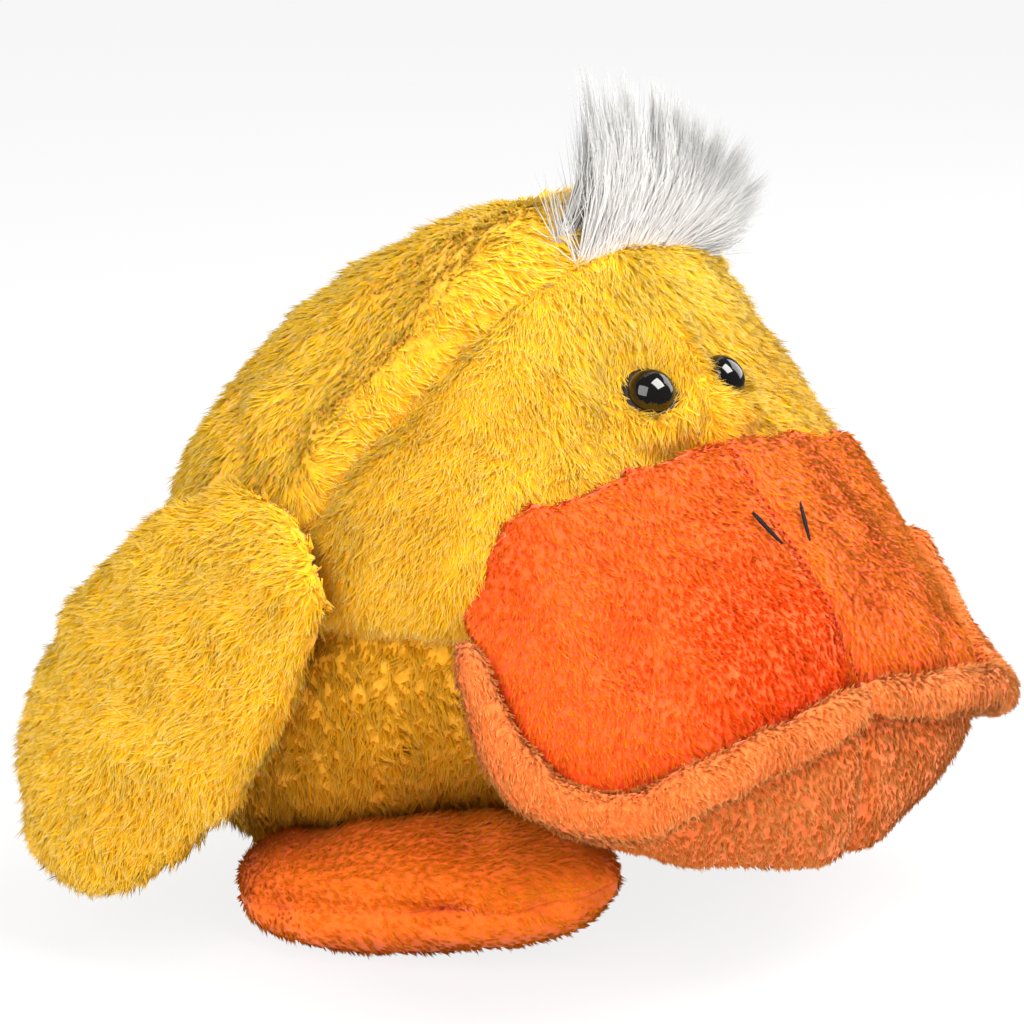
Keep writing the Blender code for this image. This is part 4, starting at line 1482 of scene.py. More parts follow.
@dataclass
class Stuffed:
    """A sewn and stuffed form in one colour: a bill, or the lip between both.

    Attributes:
        word: The first part of its pieces' names.
        plush: What its halves are cut from.
        pile: How its pile grows.
        combing: The way in which that lies.
        filled: Whether the CAD gives it a filling.
        voxel: Size of the remesh's voxels.
        inset: How deep the fabric lies under the pile's outside.
        rounding: How often the form is smoothed.
        folds: Its folds.
        pulls: Soft pulls that set its outline right.
        seam_depth: How deep the seam along its middle is drawn in.
        seam_width: How wide that seam is.
        unevenness: Height and size of the gentle waves over all of it.
        seated: How deep it sits in what carries it.
        tucked: How deep its filling starts, in thicknesses of its fabric.
    """

    WAVES: ClassVar[int] = 5        # which pattern its gentle waves are

    word: str
    plush: Plush
    pile: Pile
    combing: Combing
    filled: bool = True
    voxel: float = 2.5 * MM
    inset: float = 1.4 * MM
    rounding: int = 10
    folds: tuple[Fold, ...] = ()
    pulls: tuple[Pull, ...] = ()
    seam_depth: float = 1.6 * MM
    seam_width: float = 2.2 * MM
    unevenness: tuple[float, float] = (0.4 * MM, 26 * MM)
    seated: float = 4.5 * MM
    tucked: float = 3.5
    skin: Skin | None = field(default=None, init=False)
    form: Form | None = field(default=None, init=False)

    def sculpt(self, carriers: Sequence[Skin]) -> None:
        """Makes the fabric surface and seats it on what it is sewn to."""
        names = [f"{self.word}_{side.word}" for side in Side]
        form = Form.of_nodes(names + [f"{self.word}_filling"] * self.filled, self.voxel)
        form.smooth(self.rounding)
        form.sink(self.depths)
        for pull in self.pulls:
            form.set_places(pull.moved(form.places()[0]))
        for carrier in carriers:
            seat(form, carrier, self.seated)
        form.smooth(1)
        self.form = form
        self.skin = form.skin()

    def depths(self, points: Array, normals: Array) -> Array:
        """How deep the fabric lies, with the middle seam, the folds and gentle waves."""
        height, size = self.unevenness
        seam = self.seam_depth * bell(np.abs(points[:, 0]), self.seam_width)
        soft = height * waves(points, size, self.WAVES)
        return self.inset + seam + soft + folded(self.folds, points)

    def make(self, off: Sequence[tuple[Skin, float]]) -> None:
        """Makes both halves with their pile, and the filling."""
        # The middle seam's pile is painted dark, as the shade in its groove.
        seam = Seam((0.0, 0.0, 0.0), (1.0, 0.0, 0.0))
        for side, patch in halves(self.form).items():
            self.plush.sew(
                f"{self.word}_{{}}_{side.word}", patch, "body", f"{self.word}_{side.word}",
                self.pile, self.combing, off, [seam], self.folds,
            )
        if self.filled:
            depth = self.tucked * self.plush.thickness
            node = f"{self.word}_filling"
            Stuffing().stuff(f"{self.word}_stuffing", "body", node, self.skin, depth)


@dataclass
class Limb:
    """A wing or a foot: two sewn sides round a filling. The left one mirrors the right.

    Attributes:
        word: wing or foot.
        sides: The CAD's words for its two fabric sides.
        plush: What its sides are cut from.
        piles: How the pile of each side grows.
        combing: The way in which that lies.
        seam_point: A point of the plane of its edge seam.
        seam_normal: That plane's normal, which points to the first side.
        inset: How deep the fabric lies under the pile's outside.
        folds: Its folds, on the right one.
        seam_depth: How deep the edge seam is drawn in.
        seam_width: How wide that seam is.
        seam_dark: How much shade is painted into the pile in it.
        puckers: Share of the seam's depth that varies along it, and the puckers' size.
        unevenness: Height and size of the gentle waves over all of it.
        voxel: Size of the remesh's voxels.
        rounding: How often the form is smoothed.
        lowest: Lowest height of its fabric over the floor.
        tucked: How deep its filling starts, in thicknesses of its fabric.
    """

    WAVES: ClassVar[tuple[int, int]] = (8, 9)   # which patterns its puckers and waves are

    word: str
    sides: tuple[str, str]
    plush: Plush
    piles: tuple[Pile, Pile]
    combing: Combing
    seam_point: Vector
    seam_normal: Vector
    inset: float
    folds: tuple[Fold, ...] = ()
    seam_depth: float = 2.0 * MM
    seam_width: float = 3.2 * MM
    seam_dark: float = 0.3
    puckers: tuple[float, float] = (0.3, 11 * MM)
    unevenness: tuple[float, float] = (0.7 * MM, 24 * MM)
    voxel: float = 2.5 * MM
    rounding: int = 10
    lowest: float = 0.2 * MM
    tucked: float = 3.5
    form: Form | None = field(default=None, init=False)

    def sculpt(self) -> None:
        """Makes the right limb's fabric surface."""
        names = [f"{self.word}_{side}_right" for side in (*self.sides, "filling")]
        form = Form.of_nodes(names, self.voxel)
        form.smooth(self.rounding)
        form.sink(self.depths)
        form.smooth(1)
        points, _ = form.places()
        points[:, 2] = np.maximum(points[:, 2], self.lowest)
        form.set_places(points)
        self.form = form

    def depths(self, points: Array, normals: Array) -> Array:
        """How deep the fabric lies, with the edge seam, the folds and gentle waves."""
        (share, pucker), (height, size) = self.puckers, self.unevenness
        apart = np.abs(plane_gap(points, self.seam_point, self.seam_normal))
        puckers = 1 - share + share * waves(points, pucker, self.WAVES[0])
        seam = self.seam_depth * bell(apart, self.seam_width) * puckers
        soft = height * waves(points, size, self.WAVES[1])
        return self.inset + seam + soft + folded(self.folds, points)

    def make(self, side: Side, off: Sequence[tuple[Skin, float]]) -> None:
        """Makes one limb's two sides with their pile, and its filling.

        Args:
            side: Which limb.
            off: The forms on which none of its pile shows.
        """
        form, point, normal = self.form.copy(), self.seam_point, self.seam_normal
        if side is Side.LEFT:
            form = form.mirrored()
            point = Vector((-point.x, point.y, point.z))
            normal = Vector((-normal.x, normal.y, normal.z))
        body = f"{self.word}_{side.word}"
        # The edge seam's pile is painted dark, as the shade in its groove.
        seam = Seam(tuple(point), tuple(normal), darken=self.seam_dark)
        creases = [replace(fold, both=True) for fold in self.folds]
        for half, keep, pile in zip(self.sides, (Keep.FRONT, Keep.BACK), self.piles):
            self.plush.sew(
                f"{self.word}_{half}_{{}}_{side.word}", form.copy().cut(point, normal, keep),
                body, f"{self.word}_{half}_{side.word}", pile, self.combing, off, [seam], creases,
            )
        name, node = (f"{self.word}_{word}_{side.word}" for word in ("stuffing", "filling"))
        Stuffing().stuff(name, body, node, form.skin(), self.tucked * self.plush.thickness)


@dataclass
class Stitching:
    """Threads sewn on a form, each a spindle that lies on its surface.

    Attributes:
        name: The piece's name.
        slot: The record's material slot; not used.
        finish: The thread's finish.
        runs: Both ends of each thread, in millimetres.
        thickness: A thread's thickness.
        lift: How high the threads lie over the fabric.
        replaced: The CAD nodes that the piece stands for.
        facets: Faces round a thread, and along it.
    """

    name: str
    slot: str
    finish: ClothFinish
    runs: Sequence[tuple[tuple[float, float, float], tuple[float, float, float]]]
    thickness: float
    lift: float
    replaced: tuple[str, ...] = ()
    facets: tuple[int, int] = (8, 10)

    def make(self, skin: Skin) -> None:
        """Makes the threads on a form."""
        around, along_it = self.facets
        shape = bmesh.new()
        for start, end in self.runs:
            start, end = Vector(start) * MM, Vector(end) * MM
            along = end - start
            made = bmesh.ops.create_uvsphere(
                shape, u_segments=around, v_segments=along_it, radius=0.5
            )
            for vertex in made["verts"]:
                spot = (start + end) / 2 + along * vertex.co.z
                nearest, normal, _, _ = skin.faces.find_nearest(spot)
                side = along.cross(normal).normalized()
                round_it = side * vertex.co.x + normal * vertex.co.y
                vertex.co = nearest + normal * self.lift + round_it * self.thickness
        mesh = bpy.data.meshes.new(self.name)
        shape.to_mesh(mesh)
        shape.free()
        made = new_object(self.name, mesh, self.finish.material())
        dress(made, "body", self.replaced)


@dataclass(frozen=True)
class Lock:
    """One lock of the tuft, in millimetres.

    Attributes:
        root: Its place across the tuft.
        tip: Where its tip is.
        share: Its share of the strands.
        bend: How far its middle control point lies off the straight line.
    """

    root: float
    tip: tuple[float, float, float]
    share: float = 1.0
    bend: tuple[float, float, float] = (6.0, 0.0, -4.0)


@dataclass
class Tuft:
    """The tuft of long white pile on the crown, in locks that fan to the left.

    Attributes:
        place: Middle of the root.
        reach: How far the root reaches to the duck's right and left.
        depth: The root's depth.
        strands: How many strands it has.
        width: A strand's width.
        widths: The narrowest and the widest strand, against that.
        rooted: How deep the roots lie in the fabric.
        scatter: How far a lock's roots scatter.
        short: Share of its lock that the shortest strand lacks.
        evenly: How evenly the strands' lengths spread; more makes more of them long.
        loose: How far tips of whole strands stray, and how much more those of short ones do.
        middle_loose: Share of that by which their middles follow, and how far these stray.
        tone: The usual shade from dark, 0, to light, 1, and how far it varies.
        soft: Share by which strands are shaded by the way that they face.
        parting: Where across the root the strands that face back start.
        faces: How much strands face back or ahead, and up.
        locks: Its locks, from the duck's right to its left.
    """

    SEED: ClassVar[int] = 7         # which random tuft it is

    place: tuple[float, float, float] = (0.0, -46.0, 193.5)
    reach: tuple[float, float] = (-24.0 * MM, 34.0 * MM)
    depth: float = 12.0 * MM
    strands: int = 8500
    width: float = 0.25 * MM
    widths: tuple[float, float] = (0.6, 1.3)
    rooted: float = 0.5 * MM
    scatter: float = 3.5 * MM
    short: float = 0.6
    evenly: float = 1.1
    loose: tuple[float, float] = (1.1 * MM, 5.5 * MM)
    middle_loose: tuple[float, float] = (0.4, 0.7 * MM)
    tone: tuple[float, float] = (0.5, 0.25)
    soft: float = 0.7
    parting: float = 0.2
    faces: tuple[float, float] = (0.8, 0.5)
    locks: tuple[Lock, ...] = (
        Lock(-23.0, (-33.0, -46.0, 214.0), 0.06, (-2.0, 0.0, 4.0)),
        Lock(-17.0, (-22.0, -48.0, 241.0), 1.4, (14.0, 0.0, 0.0)),
        Lock(-12.0, (-14.5, -50.0, 239.0), 0.8, (14.0, 0.0, 0.0)),
        Lock(-6.0, (-7.5, -49.0, 239.0), 1.0, (15.0, 0.0, 0.0)),
        Lock(2.0, (4.0, -50.0, 236.0), 1.4, (17.0, 0.0, 0.0)),
        Lock(8.0, (13.5, -49.0, 232.0), 1.3, (16.0, 0.0, -1.0)),
        Lock(13.0, (24.0, -49.0, 226.0), 1.1, (13.0, 0.0, -2.0)),
        Lock(16.0, (34.0, -49.0, 222.0), 1.1, (11.0, 0.0, -3.0)),
        Lock(20.0, (43.0, -50.0, 217.0), 1.1, (9.0, 0.0, -5.0)),
        Lock(23.0, (49.0, -48.0, 212.0), 1.0, (8.0, 0.0, -6.0)),
        Lock(26.0, (54.0, -50.0, 205.0), 1.0),
        Lock(29.0, (50.0, -49.0, 198.0), 0.8),
        Lock(31.0, (44.0, -50.0, 191.0), 0.5, (4.0, 0.0, -2.0)),
    )

    def make(self, skin: Skin) -> None:
        """Grows the strands on the body, each along the curve of its lock."""
        draw, count = np.random.default_rng(self.SEED), self.strands
        shares = np.array([lock.share for lock in self.locks])
        pick = draw.choice(len(self.locks), count, p=shares / shares.sum())
        roots_x = np.array([lock.root for lock in self.locks])[pick] * MM
        tips = np.array([lock.tip for lock in self.locks])[pick] * MM
        bends = np.array([lock.bend for lock in self.locks])[pick] * MM
        roots = np.tile(np.array(self.place) * MM, (count, 1))
        roots[:, 0] += roots_x + draw.normal(size=count) * self.scatter
        roots[:, 0] = roots[:, 0].clip(*self.reach)
        behind = draw.uniform(-0.5, 0.5, count)
        roots[:, 1] += behind * self.depth
        for index, root in enumerate(roots):
            spot, way, _, _ = skin.faces.find_nearest(Vector(root))
            roots[index] = spot - way * self.rooted
        share = (1 - self.short * draw.random(count) ** self.evenly)[:, None]
        middle = (roots + tips) / 2 + bends
        ends = (1 - share) ** 2 * roots + 2 * share * (1 - share) * middle + share**2 * tips
        middle = roots + (middle - roots) * share
        whole, shorter = self.loose
        loose = (whole + shorter * (1 - share)) * draw.normal(size=(count, 3))
        follow, stray = self.middle_loose
        ends += loose
        middle += loose * follow + draw.normal(size=(count, 3)) * stray
        widths = self.width * draw.uniform(*self.widths, count)
        shades = (self.tone[0] + self.tone[1] * draw.normal(size=count)).clip(0.0, 1.0)
        aside = (ends[:, 0] - roots_x.mean()) / self.reach[1]
        back, up = self.faces
        facing = np.where(behind > self.parting, back, -back)
        ups = unit(np.stack([aside, facing, np.full(count, up)], axis=1))
        pile = Pile(WHITE_PILE, 0.0, soft=self.soft)
        mesh = pile.strand_mesh("tuft_strands", roots, middle, ends, ups, widths, shades)
        made = new_object("tuft_strands", mesh, WHITE_PILE.material())
        dress(made, "body", ["tuft"])


@dataclass(frozen=True)
class Lamp:
    """A square soft lamp.

    Attributes:
        name: Its name.
        azimuth: Degrees from straight ahead of the duck.
        elevation: Degrees up.
        distance: From the middle of the duck.
        size: Its edge.
        power: Its power in watts.
        colour: Its colour.
    """

    name: str
    azimuth: float
    elevation: float
    distance: float
    size: float
    power: float
    colour: Colour = (1.0, 0.99, 0.98)


@dataclass
class Studio:
    """A pale floor, soft light and a camera at the photograph's angle.

    Attributes:
        azimuth: Degrees from straight ahead of the duck to the camera.
        elevation: Degrees up to the camera.
        distance: From the camera to what it looks at.
        target: Height of what it looks at.
        lens: Focal length in millimetres.
        sensor: The camera's sensor in millimetres.
        daylight: Strength of the light from all round.
        reflected: Strength of that light where a gloss mirrors it.
        floor_reach: Half of the floor's edge.
        floor_grey: The floor's grey.
        floor_rough: Its roughness.
        floor_white: Share of plain white in what the camera sees of it.
        lamps: The lamps.
    """

    azimuth: float = -45.0
    elevation: float = 14.0
    distance: float = 0.9
    target: float = 0.107
    lens: float = 109.1
    sensor: float = 36.0
    daylight: float = 0.68
    reflected: float = 0.12
    floor_reach: float = 12.0
    floor_grey: float = 0.78
    floor_rough: float = 0.9
    floor_white: float = 0.84
    lamps: tuple[Lamp, ...] = (
        Lamp("key", 16.0, 56.0, 1.5, 0.9, 31.0, (1.0, 0.985, 0.96)),
        Lamp("fill", -80.0, 32.0, 1.6, 1.2, 17.0),
        Lamp("side", 78.0, 26.0, 1.6, 1.2, 13.0),
    )

    def make(self) -> None:
        """Makes the world, floor, lamps and camera."""
        scene = bpy.context.scene
        scene.view_settings.view_transform = "Standard"
        self.make_world()
        self.make_floor()
        for lamp in self.lamps:
            self.hang(lamp)
        camera = bpy.data.objects.new("camera", bpy.data.cameras.new("camera"))
        camera.data.lens = self.lens
        camera.data.sensor_width = self.sensor
        scene.collection.objects.link(camera)
        self.aim(camera, self.spot(self.azimuth, self.elevation, self.distance))
        scene.camera = camera

    def spot(self, azimuth: float, elevation: float, distance: float) -> Vector:
        """A place round the target, at an azimuth and elevation in degrees."""
        turn, rise = math.radians(azimuth), math.radians(elevation)
        level = math.cos(rise)
        way = Vector((math.sin(turn) * level, -math.cos(turn) * level, math.sin(rise)))
        return Vector((0.0, 0.0, self.target)) + way * distance

    def aim(self, thing: bpy.types.Object, spot: Vector) -> None:
        """Puts a lamp or camera at a spot and points it at the target."""
        way = Vector((0.0, 0.0, self.target)) - spot
        thing.location = spot
        thing.rotation_euler = way.to_track_quat("-Z", "Y").to_euler()

    def hang(self, lamp: Lamp) -> None:
        """Makes a lamp that shines on the duck."""
        data = bpy.data.lights.new(lamp.name, "AREA")
        data.size, data.energy, data.color = lamp.size, lamp.power, lamp.colour
        made = bpy.data.objects.new(lamp.name, data)
        bpy.context.scene.collection.objects.link(made)
        self.aim(made, self.spot(lamp.azimuth, lamp.elevation, lamp.distance))

    def make_world(self) -> None:
        """Makes even light from all round, white where the camera sees it and dimmer where a gloss
        mirrors it.
        """
        world = bpy.data.worlds.new("studio")
        bpy.context.scene.world = world
        world.use_nodes = True
        nodes, links = world.node_tree.nodes, world.node_tree.links
        nodes.clear()
        path, out = nodes.new("ShaderNodeLightPath"), nodes.new("ShaderNodeOutputWorld")
        light = [nodes.new("ShaderNodeBackground") for _ in range(3)]
        for shader, level in zip(light, (self.daylight, self.reflected, 1.0)):
            shader.inputs["Color"].default_value = (1.0, 1.0, 1.0, 1.0)
            shader.inputs["Strength"].default_value = level
        glossy, seen = nodes.new("ShaderNodeMixShader"), nodes.new("ShaderNodeMixShader")
        links.new(path.outputs["Is Glossy Ray"], glossy.inputs["Fac"])
        links.new(light[0].outputs[0], glossy.inputs[1])
        links.new(light[1].outputs[0], glossy.inputs[2])
        links.new(path.outputs["Is Camera Ray"], seen.inputs["Fac"])
        links.new(glossy.outputs[0], seen.inputs[1])
        links.new(light[2].outputs[0], seen.inputs[2])
        links.new(seen.outputs[0], out.inputs["Surface"])

    def make_floor(self) -> None:
        """Makes a wide pale floor that keeps the duck's shadow."""
        shape = bmesh.new()
        bmesh.ops.create_grid(shape, x_segments=2, y_segments=2, size=self.floor_reach)
        mesh = bpy.data.meshes.new("floor")
        shape.to_mesh(mesh)
        shape.free()
        material, shader = shader_of("pale_floor")
        nodes, links = material.node_tree.nodes, material.node_tree.links
        shader.inputs["Base Color"].default_value = (*[self.floor_grey] * 3, 1.0)
        shader.inputs["Roughness"].default_value = self.floor_rough
        glow, path = nodes.new("ShaderNodeEmission"), nodes.new("ShaderNodeLightPath")
        glow.inputs["Strength"].default_value = 1.0
        share, mix = nodes.new("ShaderNodeMath"), nodes.new("ShaderNodeMixShader")
        share.operation = "MULTIPLY"
        share.inputs[1].default_value = self.floor_white
        links.new(path.outputs["Is Camera Ray"], share.inputs[0])
        links.new(share.outputs[0], mix.inputs["Fac"])
        links.new(shader.outputs[0], mix.inputs[1])
        links.new(glow.outputs[0], mix.inputs[2])
        dim, mirrored = nodes.new("ShaderNodeEmission"), nodes.new("ShaderNodeMixShader")
        dim.inputs["Strength"].default_value = self.reflected
        links.new(path.outputs["Is Glossy Ray"], mirrored.inputs["Fac"])
        links.new(mix.outputs[0], mirrored.inputs[1])
        links.new(dim.outputs[0], mirrored.inputs[2])
        links.new(mirrored.outputs[0], nodes["Material Output"].inputs["Surface"])
        new_object("floor", mesh, material)


FACE_PILE = Pile(YELLOW_PILE, 78.0, length=4.9, width=0.47, lift=26.0, rings=0, soft=0.85)
BACK_PILE = replace(FACE_PILE, density=28.0, length=5.4, width=0.68, lift=20.0)
BELLY_PILE = replace(
    FACE_PILE, finish=BELLY_PAINTED_SHADE_FINISH, density=23.0, length=5.2, width=0.7, lift=32.0, stray=30.0,
)
WING_PILE = replace(FACE_PILE, density=58.0, length=5.2, width=0.5, stray=24.0, gather=0.7)
INNER_WING_PILE = replace(WING_PILE, density=24.0, width=0.66)
BILL_PILE = Pile(
    ORANGE_PILE, 58.0, length=2.6, width=0.43, lift=28.0, spread=0.35, rings=0, soft=0.85,
)
JAW_PILE = replace(BILL_PILE, finish=JAW_PAINTED_SHADE_FINISH, density=48.0, width=0.48)
LIP_ROLL_PILE = replace(BILL_PILE, finish=LIP_PILE, density=68.0, length=2.4)
FOOT_TOP_PILE = replace(BILL_PILE, finish=FOOT_PILE, density=66.0, length=2.6, width=0.4)
FOOT_SOLE_PILE = replace(FOOT_TOP_PILE, density=24.0, length=2.5, width=0.56)

BILL_PLUSH = Plush("bill_plush", ORANGE_BACKING, 1.0 * MM, 0.85)
LIP_PLUSH = Plush("lip_plush", LIP_BACKING, 1.0 * MM, 0.85)
WING_PLUSH = Plush("yellow_plush", YELLOW_BACKING, 1.0 * MM, 0.8)
FOOT_PLUSH = Plush("foot_plush", FOOT_BACKING, 1.0 * MM, 0.8)

# Painted light: the tones lighten the face's nap, most at its top.
FACE_COMBING = Combing((
    Stroke((-10.0, -54.0, 186.0), (-0.30, -0.35, -0.87), 0.8),
    Stroke((-35.0, -55.0, 172.0), (-0.30, -0.30, -0.90), 0.4),
    Stroke((-50.0, -60.0, 155.0), (-0.35, -0.30, -0.88)),
    Stroke((-72.0, -45.0, 140.0), (-0.45, -0.10, -0.88)),
    Stroke((-82.0, -52.0, 118.0), (-0.45, 0.00, -0.88), -0.05),
    Stroke((-65.0, -75.0, 130.0), (-0.40, -0.30, -0.87)),
    Stroke((-20.0, -78.0, 150.0), (-0.30, -0.50, -0.80), 0.25),
    Stroke((-5.0, -72.0, 158.0), (-0.60, -0.30, -0.70), 0.05),
))
# Painted light: the tones lighten the back's nap, most on its upper part.
BACK_COMBING = Combing((
    Stroke((-24.0, -38.0, 196.0), (0.50, -0.80, -0.10), 0.5),
    Stroke((-44.0, -33.0, 188.0), (0.45, -0.80, -0.25), 0.5),
    Stroke((-60.0, -26.0, 168.0), (0.45, -0.85, -0.25), 0.4),
    Stroke((-80.0, -12.0, 142.0), (0.45, -0.85, -0.25), 0.3),
    Stroke((-30.0, -14.0, 197.0), (-0.40, -0.40, -0.60), 0.4),
    Stroke((-52.0, -6.0, 183.0), (-0.30, -0.30, -0.80), 0.4),
    Stroke((-68.0, 2.0, 165.0), (-0.20, -0.20, -0.90), 0.4),
    Stroke((-20.0, 15.0, 197.0), (-0.50, 0.30, -0.50), 0.3),
    Stroke((-52.0, 20.0, 177.0), (-0.40, 0.30, -0.60), 0.3),
    Stroke((-72.0, 25.0, 152.0), (-0.10, 0.25, -0.90), 0.3),
    Stroke((-88.0, 8.0, 135.0), (0.10, -0.30, -0.95), 0.4),
    Stroke((-80.0, 40.0, 120.0), (0.05, -0.20, -0.95), 0.3),
    Stroke((-60.0, 70.0, 80.0), (0.0, 0.10, -1.0)),
    Stroke((0.0, 90.0, 100.0), (0.0, 0.10, -1.0)),
))
# Painted shade: the tones darken the belly's nap, for the shade under the head.
BELLY_COMBING = Combing((
    Stroke((-90.0, -40.0, 85.0), (-0.1, -0.1, -0.9), -0.45),
    Stroke((-70.0, -60.0, 60.0), (0.1, -0.1, -0.9), -0.5),
    Stroke((-60.0, -50.0, 30.0), (0.1, -0.1, -0.9), -0.4),
))
# Painted light: the tones lighten the whole wing's nap.
WING_COMBING = Combing((
    Stroke((-100.0, -10.0, 122.0), (-0.55, 0.65, -0.45), 0.22),
    Stroke((-112.0, 30.0, 105.0), (-0.45, 0.70, -0.60), 0.20),
    Stroke((-122.0, -5.0, 80.0), (-0.45, 0.20, -0.88), 0.18),
    Stroke((-112.0, -22.0, 90.0), (-0.50, 0.10, -0.85), 0.20),
    Stroke((-130.0, 40.0, 60.0), (-0.25, 0.40, -0.85), 0.22),
    Stroke((-136.0, 15.0, 35.0), (-0.20, 0.15, -0.95), 0.18),
))
# Painted light and shade: the tones lighten the near side of the bill and darken its middle, and its
# far, left side is painted lighter still.
BILL_COMBING = Combing((
    Stroke((-30.0, -90.0, 135.0), (0.10, -0.25, -0.95), 0.1),
    Stroke((-75.0, -85.0, 105.0), (0.15, -0.15, -0.95), 0.15),
    Stroke((-70.0, -100.0, 85.0), (0.10, -0.15, -0.95), 0.20),
    Stroke((-40.0, -112.0, 100.0), (0.20, -0.30, -0.95), -0.5),
    Stroke((-20.0, -120.0, 95.0), (0.25, -0.40, -0.90), -0.7),
    Stroke((-5.0, -100.0, 126.0), (0.10, -0.50, -0.80)),
), left_tone=0.9)
LIP_COMBING = Combing((
    Stroke((-40.0, -130.0, 70.0), (0.10, -0.70, -0.70)),
    Stroke((-90.0, -90.0, 75.0), (-0.50, -0.60, -0.60)),
))
# Painted shade: the tones darken the jaw's nap under the lip roll.
JAW_COMBING = Combing((
    Stroke((-40.0, -120.0, 50.0), (0.20, -0.10, -0.95), -0.25),
    Stroke((-75.0, -90.0, 60.0), (0.15, -0.10, -0.95), -0.35),
))
# Painted light and shade: the tones lighten the top of the foot and darken it low on its outer side.
FOOT_COMBING = Combing((
    Stroke((-70.0, 0.0, 30.0), (0.30, -0.90, 0.0), 0.15),
    Stroke((-45.0, -60.0, 30.0), (0.30, -0.90, -0.2), 0.25),
    Stroke((-85.0, -30.0, 12.0), (0.30, -0.85, -0.2), -0.1),
))


BILL_FOLDS = (
    Fold(((-67, -80, 130), (-77, -78, 122), (-86, -75, 112)), 3.0, 9.0, both=False),
    Fold(((-65, -97, 102), (-60, -109, 94), (-53, -120, 86), (-46, -128, 79)), 1.5, 6.0),
)
BILL_PULLS = (
    Pull((-88, -68, 112), (5.0, -2.0, -1.0), 15.0),
    Pull((-77, -69, 131), (2.5, -1.0, -4.0), 8.0),
    Pull((88, -68, 120), (-5.0, -1.0, -2.5), 14.0),
)
JAW_FOLDS = (
    Fold(((-58, -112, 42), (-30, -125, 37), (0, -129, 35)), -3.0, 13.0),
    Fold(((0, -132, 38), (0, -122, 30)), 3.2, 4.0, both=False),
    Fold(((-4, -130, 40), (-14, -129, 44)), 1.2, 2.5),
)
LIP_FOLDS = (Fold(((-93, -65, 106), (-96, -70, 99), (-97, -76, 90)), -3.5, 7.0),)
LIP_PULLS = (
    Pull((-93, -68, 101), (4.0, -1.0, -2.0), 9.0),
    Pull((93, -68, 101), (-5.0, -1.0, -2.0), 9.0),
)
WING_FOLDS = (
    Fold(((-101, 22, 124), (-112, 45, 105), (-120, 58, 82)), -4.0, 16.0, both=False),
    Fold(((-109, -25, 77), (-122, -5, 40)), -2.0, 12.0, both=False),
)
FOOT_FOLDS = (
    Fold(((-99, -3, 16), (-93, -24, 19), (-84, -44, 19), (-76, -57, 19)), 2.8, 3.2, both=False),
    Fold(((-82, -48, 19), (-75, -60, 19)), 3.4, 5.0, both=False),
    Fold(((-63, -72, 28), (-61, -77, 22), (-56, -79, 13)), 4.4, 4.0, both=False),
)

WING_DOWN = Vector((-39.4, 57.5, -112.5))       # from the right wing's root to its tip
FOOT_MIDDLE = Vector((-59.0, -26.1, 17.0)) * MM  # of the right foot
FOOT_TURN = math.radians(28.0)                  # how far it points outward
FOOT_TIP = math.radians(-6.0)                   # how far its toe points up


def make_wing() -> Limb:
    """The right wing, whose edge seam runs through its joint."""
    joint = {found["name"]: found for found in frame["joints"]}["wing_right_lift"]
    out = Vector(joint["axis"]).cross(WING_DOWN).normalized()
    return Limb(
        "wing", ("outer", "inner"), WING_PLUSH, (WING_PILE, INNER_WING_PILE), WING_COMBING,
        Vector(joint["pos_m"]), out, 1.0 * MM, WING_FOLDS,
    )


def make_foot() -> Limb:
    """The right foot, whose edge seam lies nearly level."""
    turned = Matrix.Rotation(FOOT_TURN, 3, "Z")
    across = turned @ Vector((1.0, 0.0, 0.0))
    ahead = Matrix.Rotation(FOOT_TIP, 3, across) @ (turned @ Vector((0.0, -1.0, 0.0)))
    return Limb(
        "foot", ("upper", "sole"), FOOT_PLUSH, (FOOT_TOP_PILE, FOOT_SOLE_PILE), FOOT_COMBING,
        FOOT_MIDDLE, ahead.cross(across), -0.9 * MM, FOOT_FOLDS, seam_depth=2.6 * MM,
    )


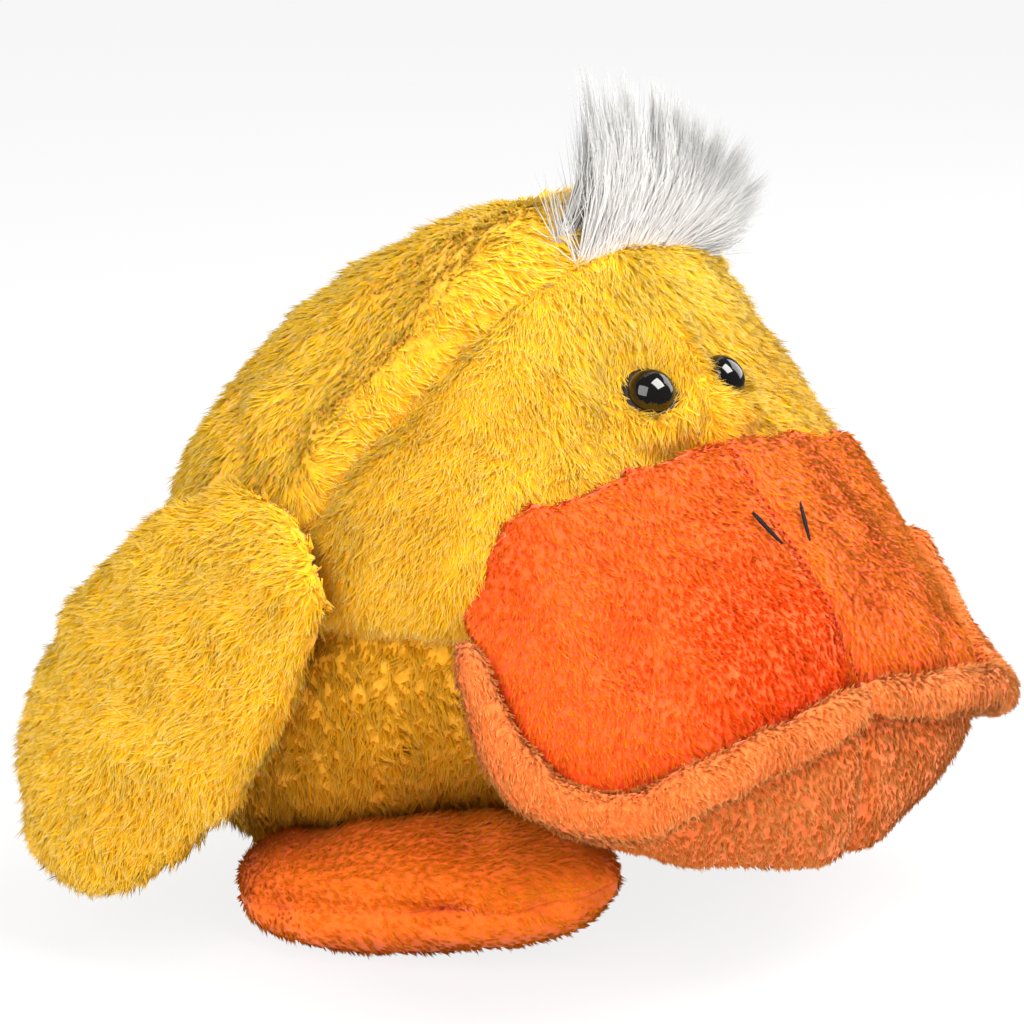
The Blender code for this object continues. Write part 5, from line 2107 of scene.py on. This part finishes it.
@dataclass
class BillThreads:
    """The nostrils and the stitches of the upper bill's middle seam, in millimetres.

    Attributes:
        nostrils: The top and bottom of each nostril.
        beside: How far apart its threads lie at the top.
        steps: Which threads it has, in these steps.
        gathered: How far apart they lie at the bottom, as a share.
        nostril_thread: Their thickness, and how high they lie over the fabric.
        middle: Where the seam runs, as Y and Z.
        stitches: How many stitches it has.
        stitch: A stitch's length.
        seam_thread: Their thickness, and how high they lie over the fabric.
    """

    nostrils: tuple[tuple[Side, tuple[Vector, Vector]], ...] = (
        (Side.RIGHT, (Vector((-9.5, -99.0, 126.1)), Vector((-6.6, -107.6, 118.3)))),
        (Side.LEFT, (Vector((8.9, -99.7, 125.5)), Vector((3.4, -108.9, 117.7)))),
    )
    beside: tuple[float, float, float] = (0.5, 0.1, 0.25)
    steps: tuple[float, ...] = (-0.8, 0.0, 0.8)
    gathered: float = 0.6
    nostril_thread: tuple[float, float] = (0.75 * MM, 1.9 * MM)
    middle: tuple[tuple[float, float], ...] = (
        (-84, 141), (-98, 128), (-111, 115), (-121, 103), (-126, 94), (-131, 84),
    )
    stitches: int = 34
    stitch: float = 1.2
    seam_thread: tuple[float, float] = (0.7 * MM, 0.55 * MM)

    def make(self, skin: Skin) -> None:
        """Sews them on the upper bill."""
        apart = Vector(self.beside)
        for side, (top, bottom) in self.nostrils:
            runs = [
                (top + apart * step, bottom + apart * step * self.gathered) for step in self.steps
            ]
            Stitching(
                f"nostril_threads_{side.word}", "black_thread", BLACK_THREAD, runs,
                *self.nostril_thread, (f"nostril_stitch_{side.word}",),
            ).make(skin)
        line = [Vector((0.0, y, z)) for y, z in self.middle]
        runs = []
        for step in range(self.stitches):
            run, part = divmod(step / self.stitches * (len(line) - 1), 1.0)
            first, second = line[int(run)], line[int(run) + 1]
            start = first.lerp(second, part)
            runs.append((start, start + (second - first).normalized() * self.stitch))
        Stitching(
            "upper_bill_seam_stitches", "bill_plush", SEAM_THREAD, runs, *self.seam_thread
        ).make(skin)


def main() -> None:
    """Builds the duck's sub-assemblies in order and sets up the studio."""
    logging.basicConfig(level=logging.INFO, format="%(name)s %(message)s")
    body = Body()
    surface = body.sculpt()
    bill = Stuffed(
        "upper_bill", BILL_PLUSH, BILL_PILE, BILL_COMBING, folds=BILL_FOLDS, pulls=BILL_PULLS,
        seam_depth=2.8 * MM,
    )
    bill.sculpt([body.outside])
    jaw = Stuffed(
        "lower_bill", LIP_PLUSH, JAW_PILE, JAW_COMBING, folds=JAW_FOLDS, seam_depth=2.6 * MM,
    )
    jaw.sculpt([body.outside])
    lip = Stuffed(
        "lip_roll", LIP_PLUSH, LIP_ROLL_PILE, LIP_COMBING, filled=False, voxel=1.8 * MM,
        inset=-0.5 * MM, rounding=6, folds=LIP_FOLDS, pulls=LIP_PULLS, seam_depth=1.8 * MM,
    )
    lip.sculpt([])
    wing, foot = make_wing(), make_foot()
    wing.sculpt()
    foot.sculpt()
    on_body, on_limb = (body.skin, 0.5 * MM), (body.skin, 1.0 * MM)
    on_bill, on_jaw, on_lip = ((form.skin, 0.0) for form in (bill, jaw, lip))
    body.make(surface, [on_bill, on_jaw, on_lip])
    bill.make([on_body, on_lip, on_jaw])
    jaw.make([on_body, on_lip, on_bill])
    lip.make([on_body, on_bill, on_jaw])
    for side in Side:
        wing.make(side, [on_limb])
        foot.make(side, [on_limb])
        Eye(side).make()
        Washer(side).make()
    BillThreads().make(bill.skin)
    Tuft().make(body.skin)
    Studio().make()


if __name__ == "__main__":
    main()
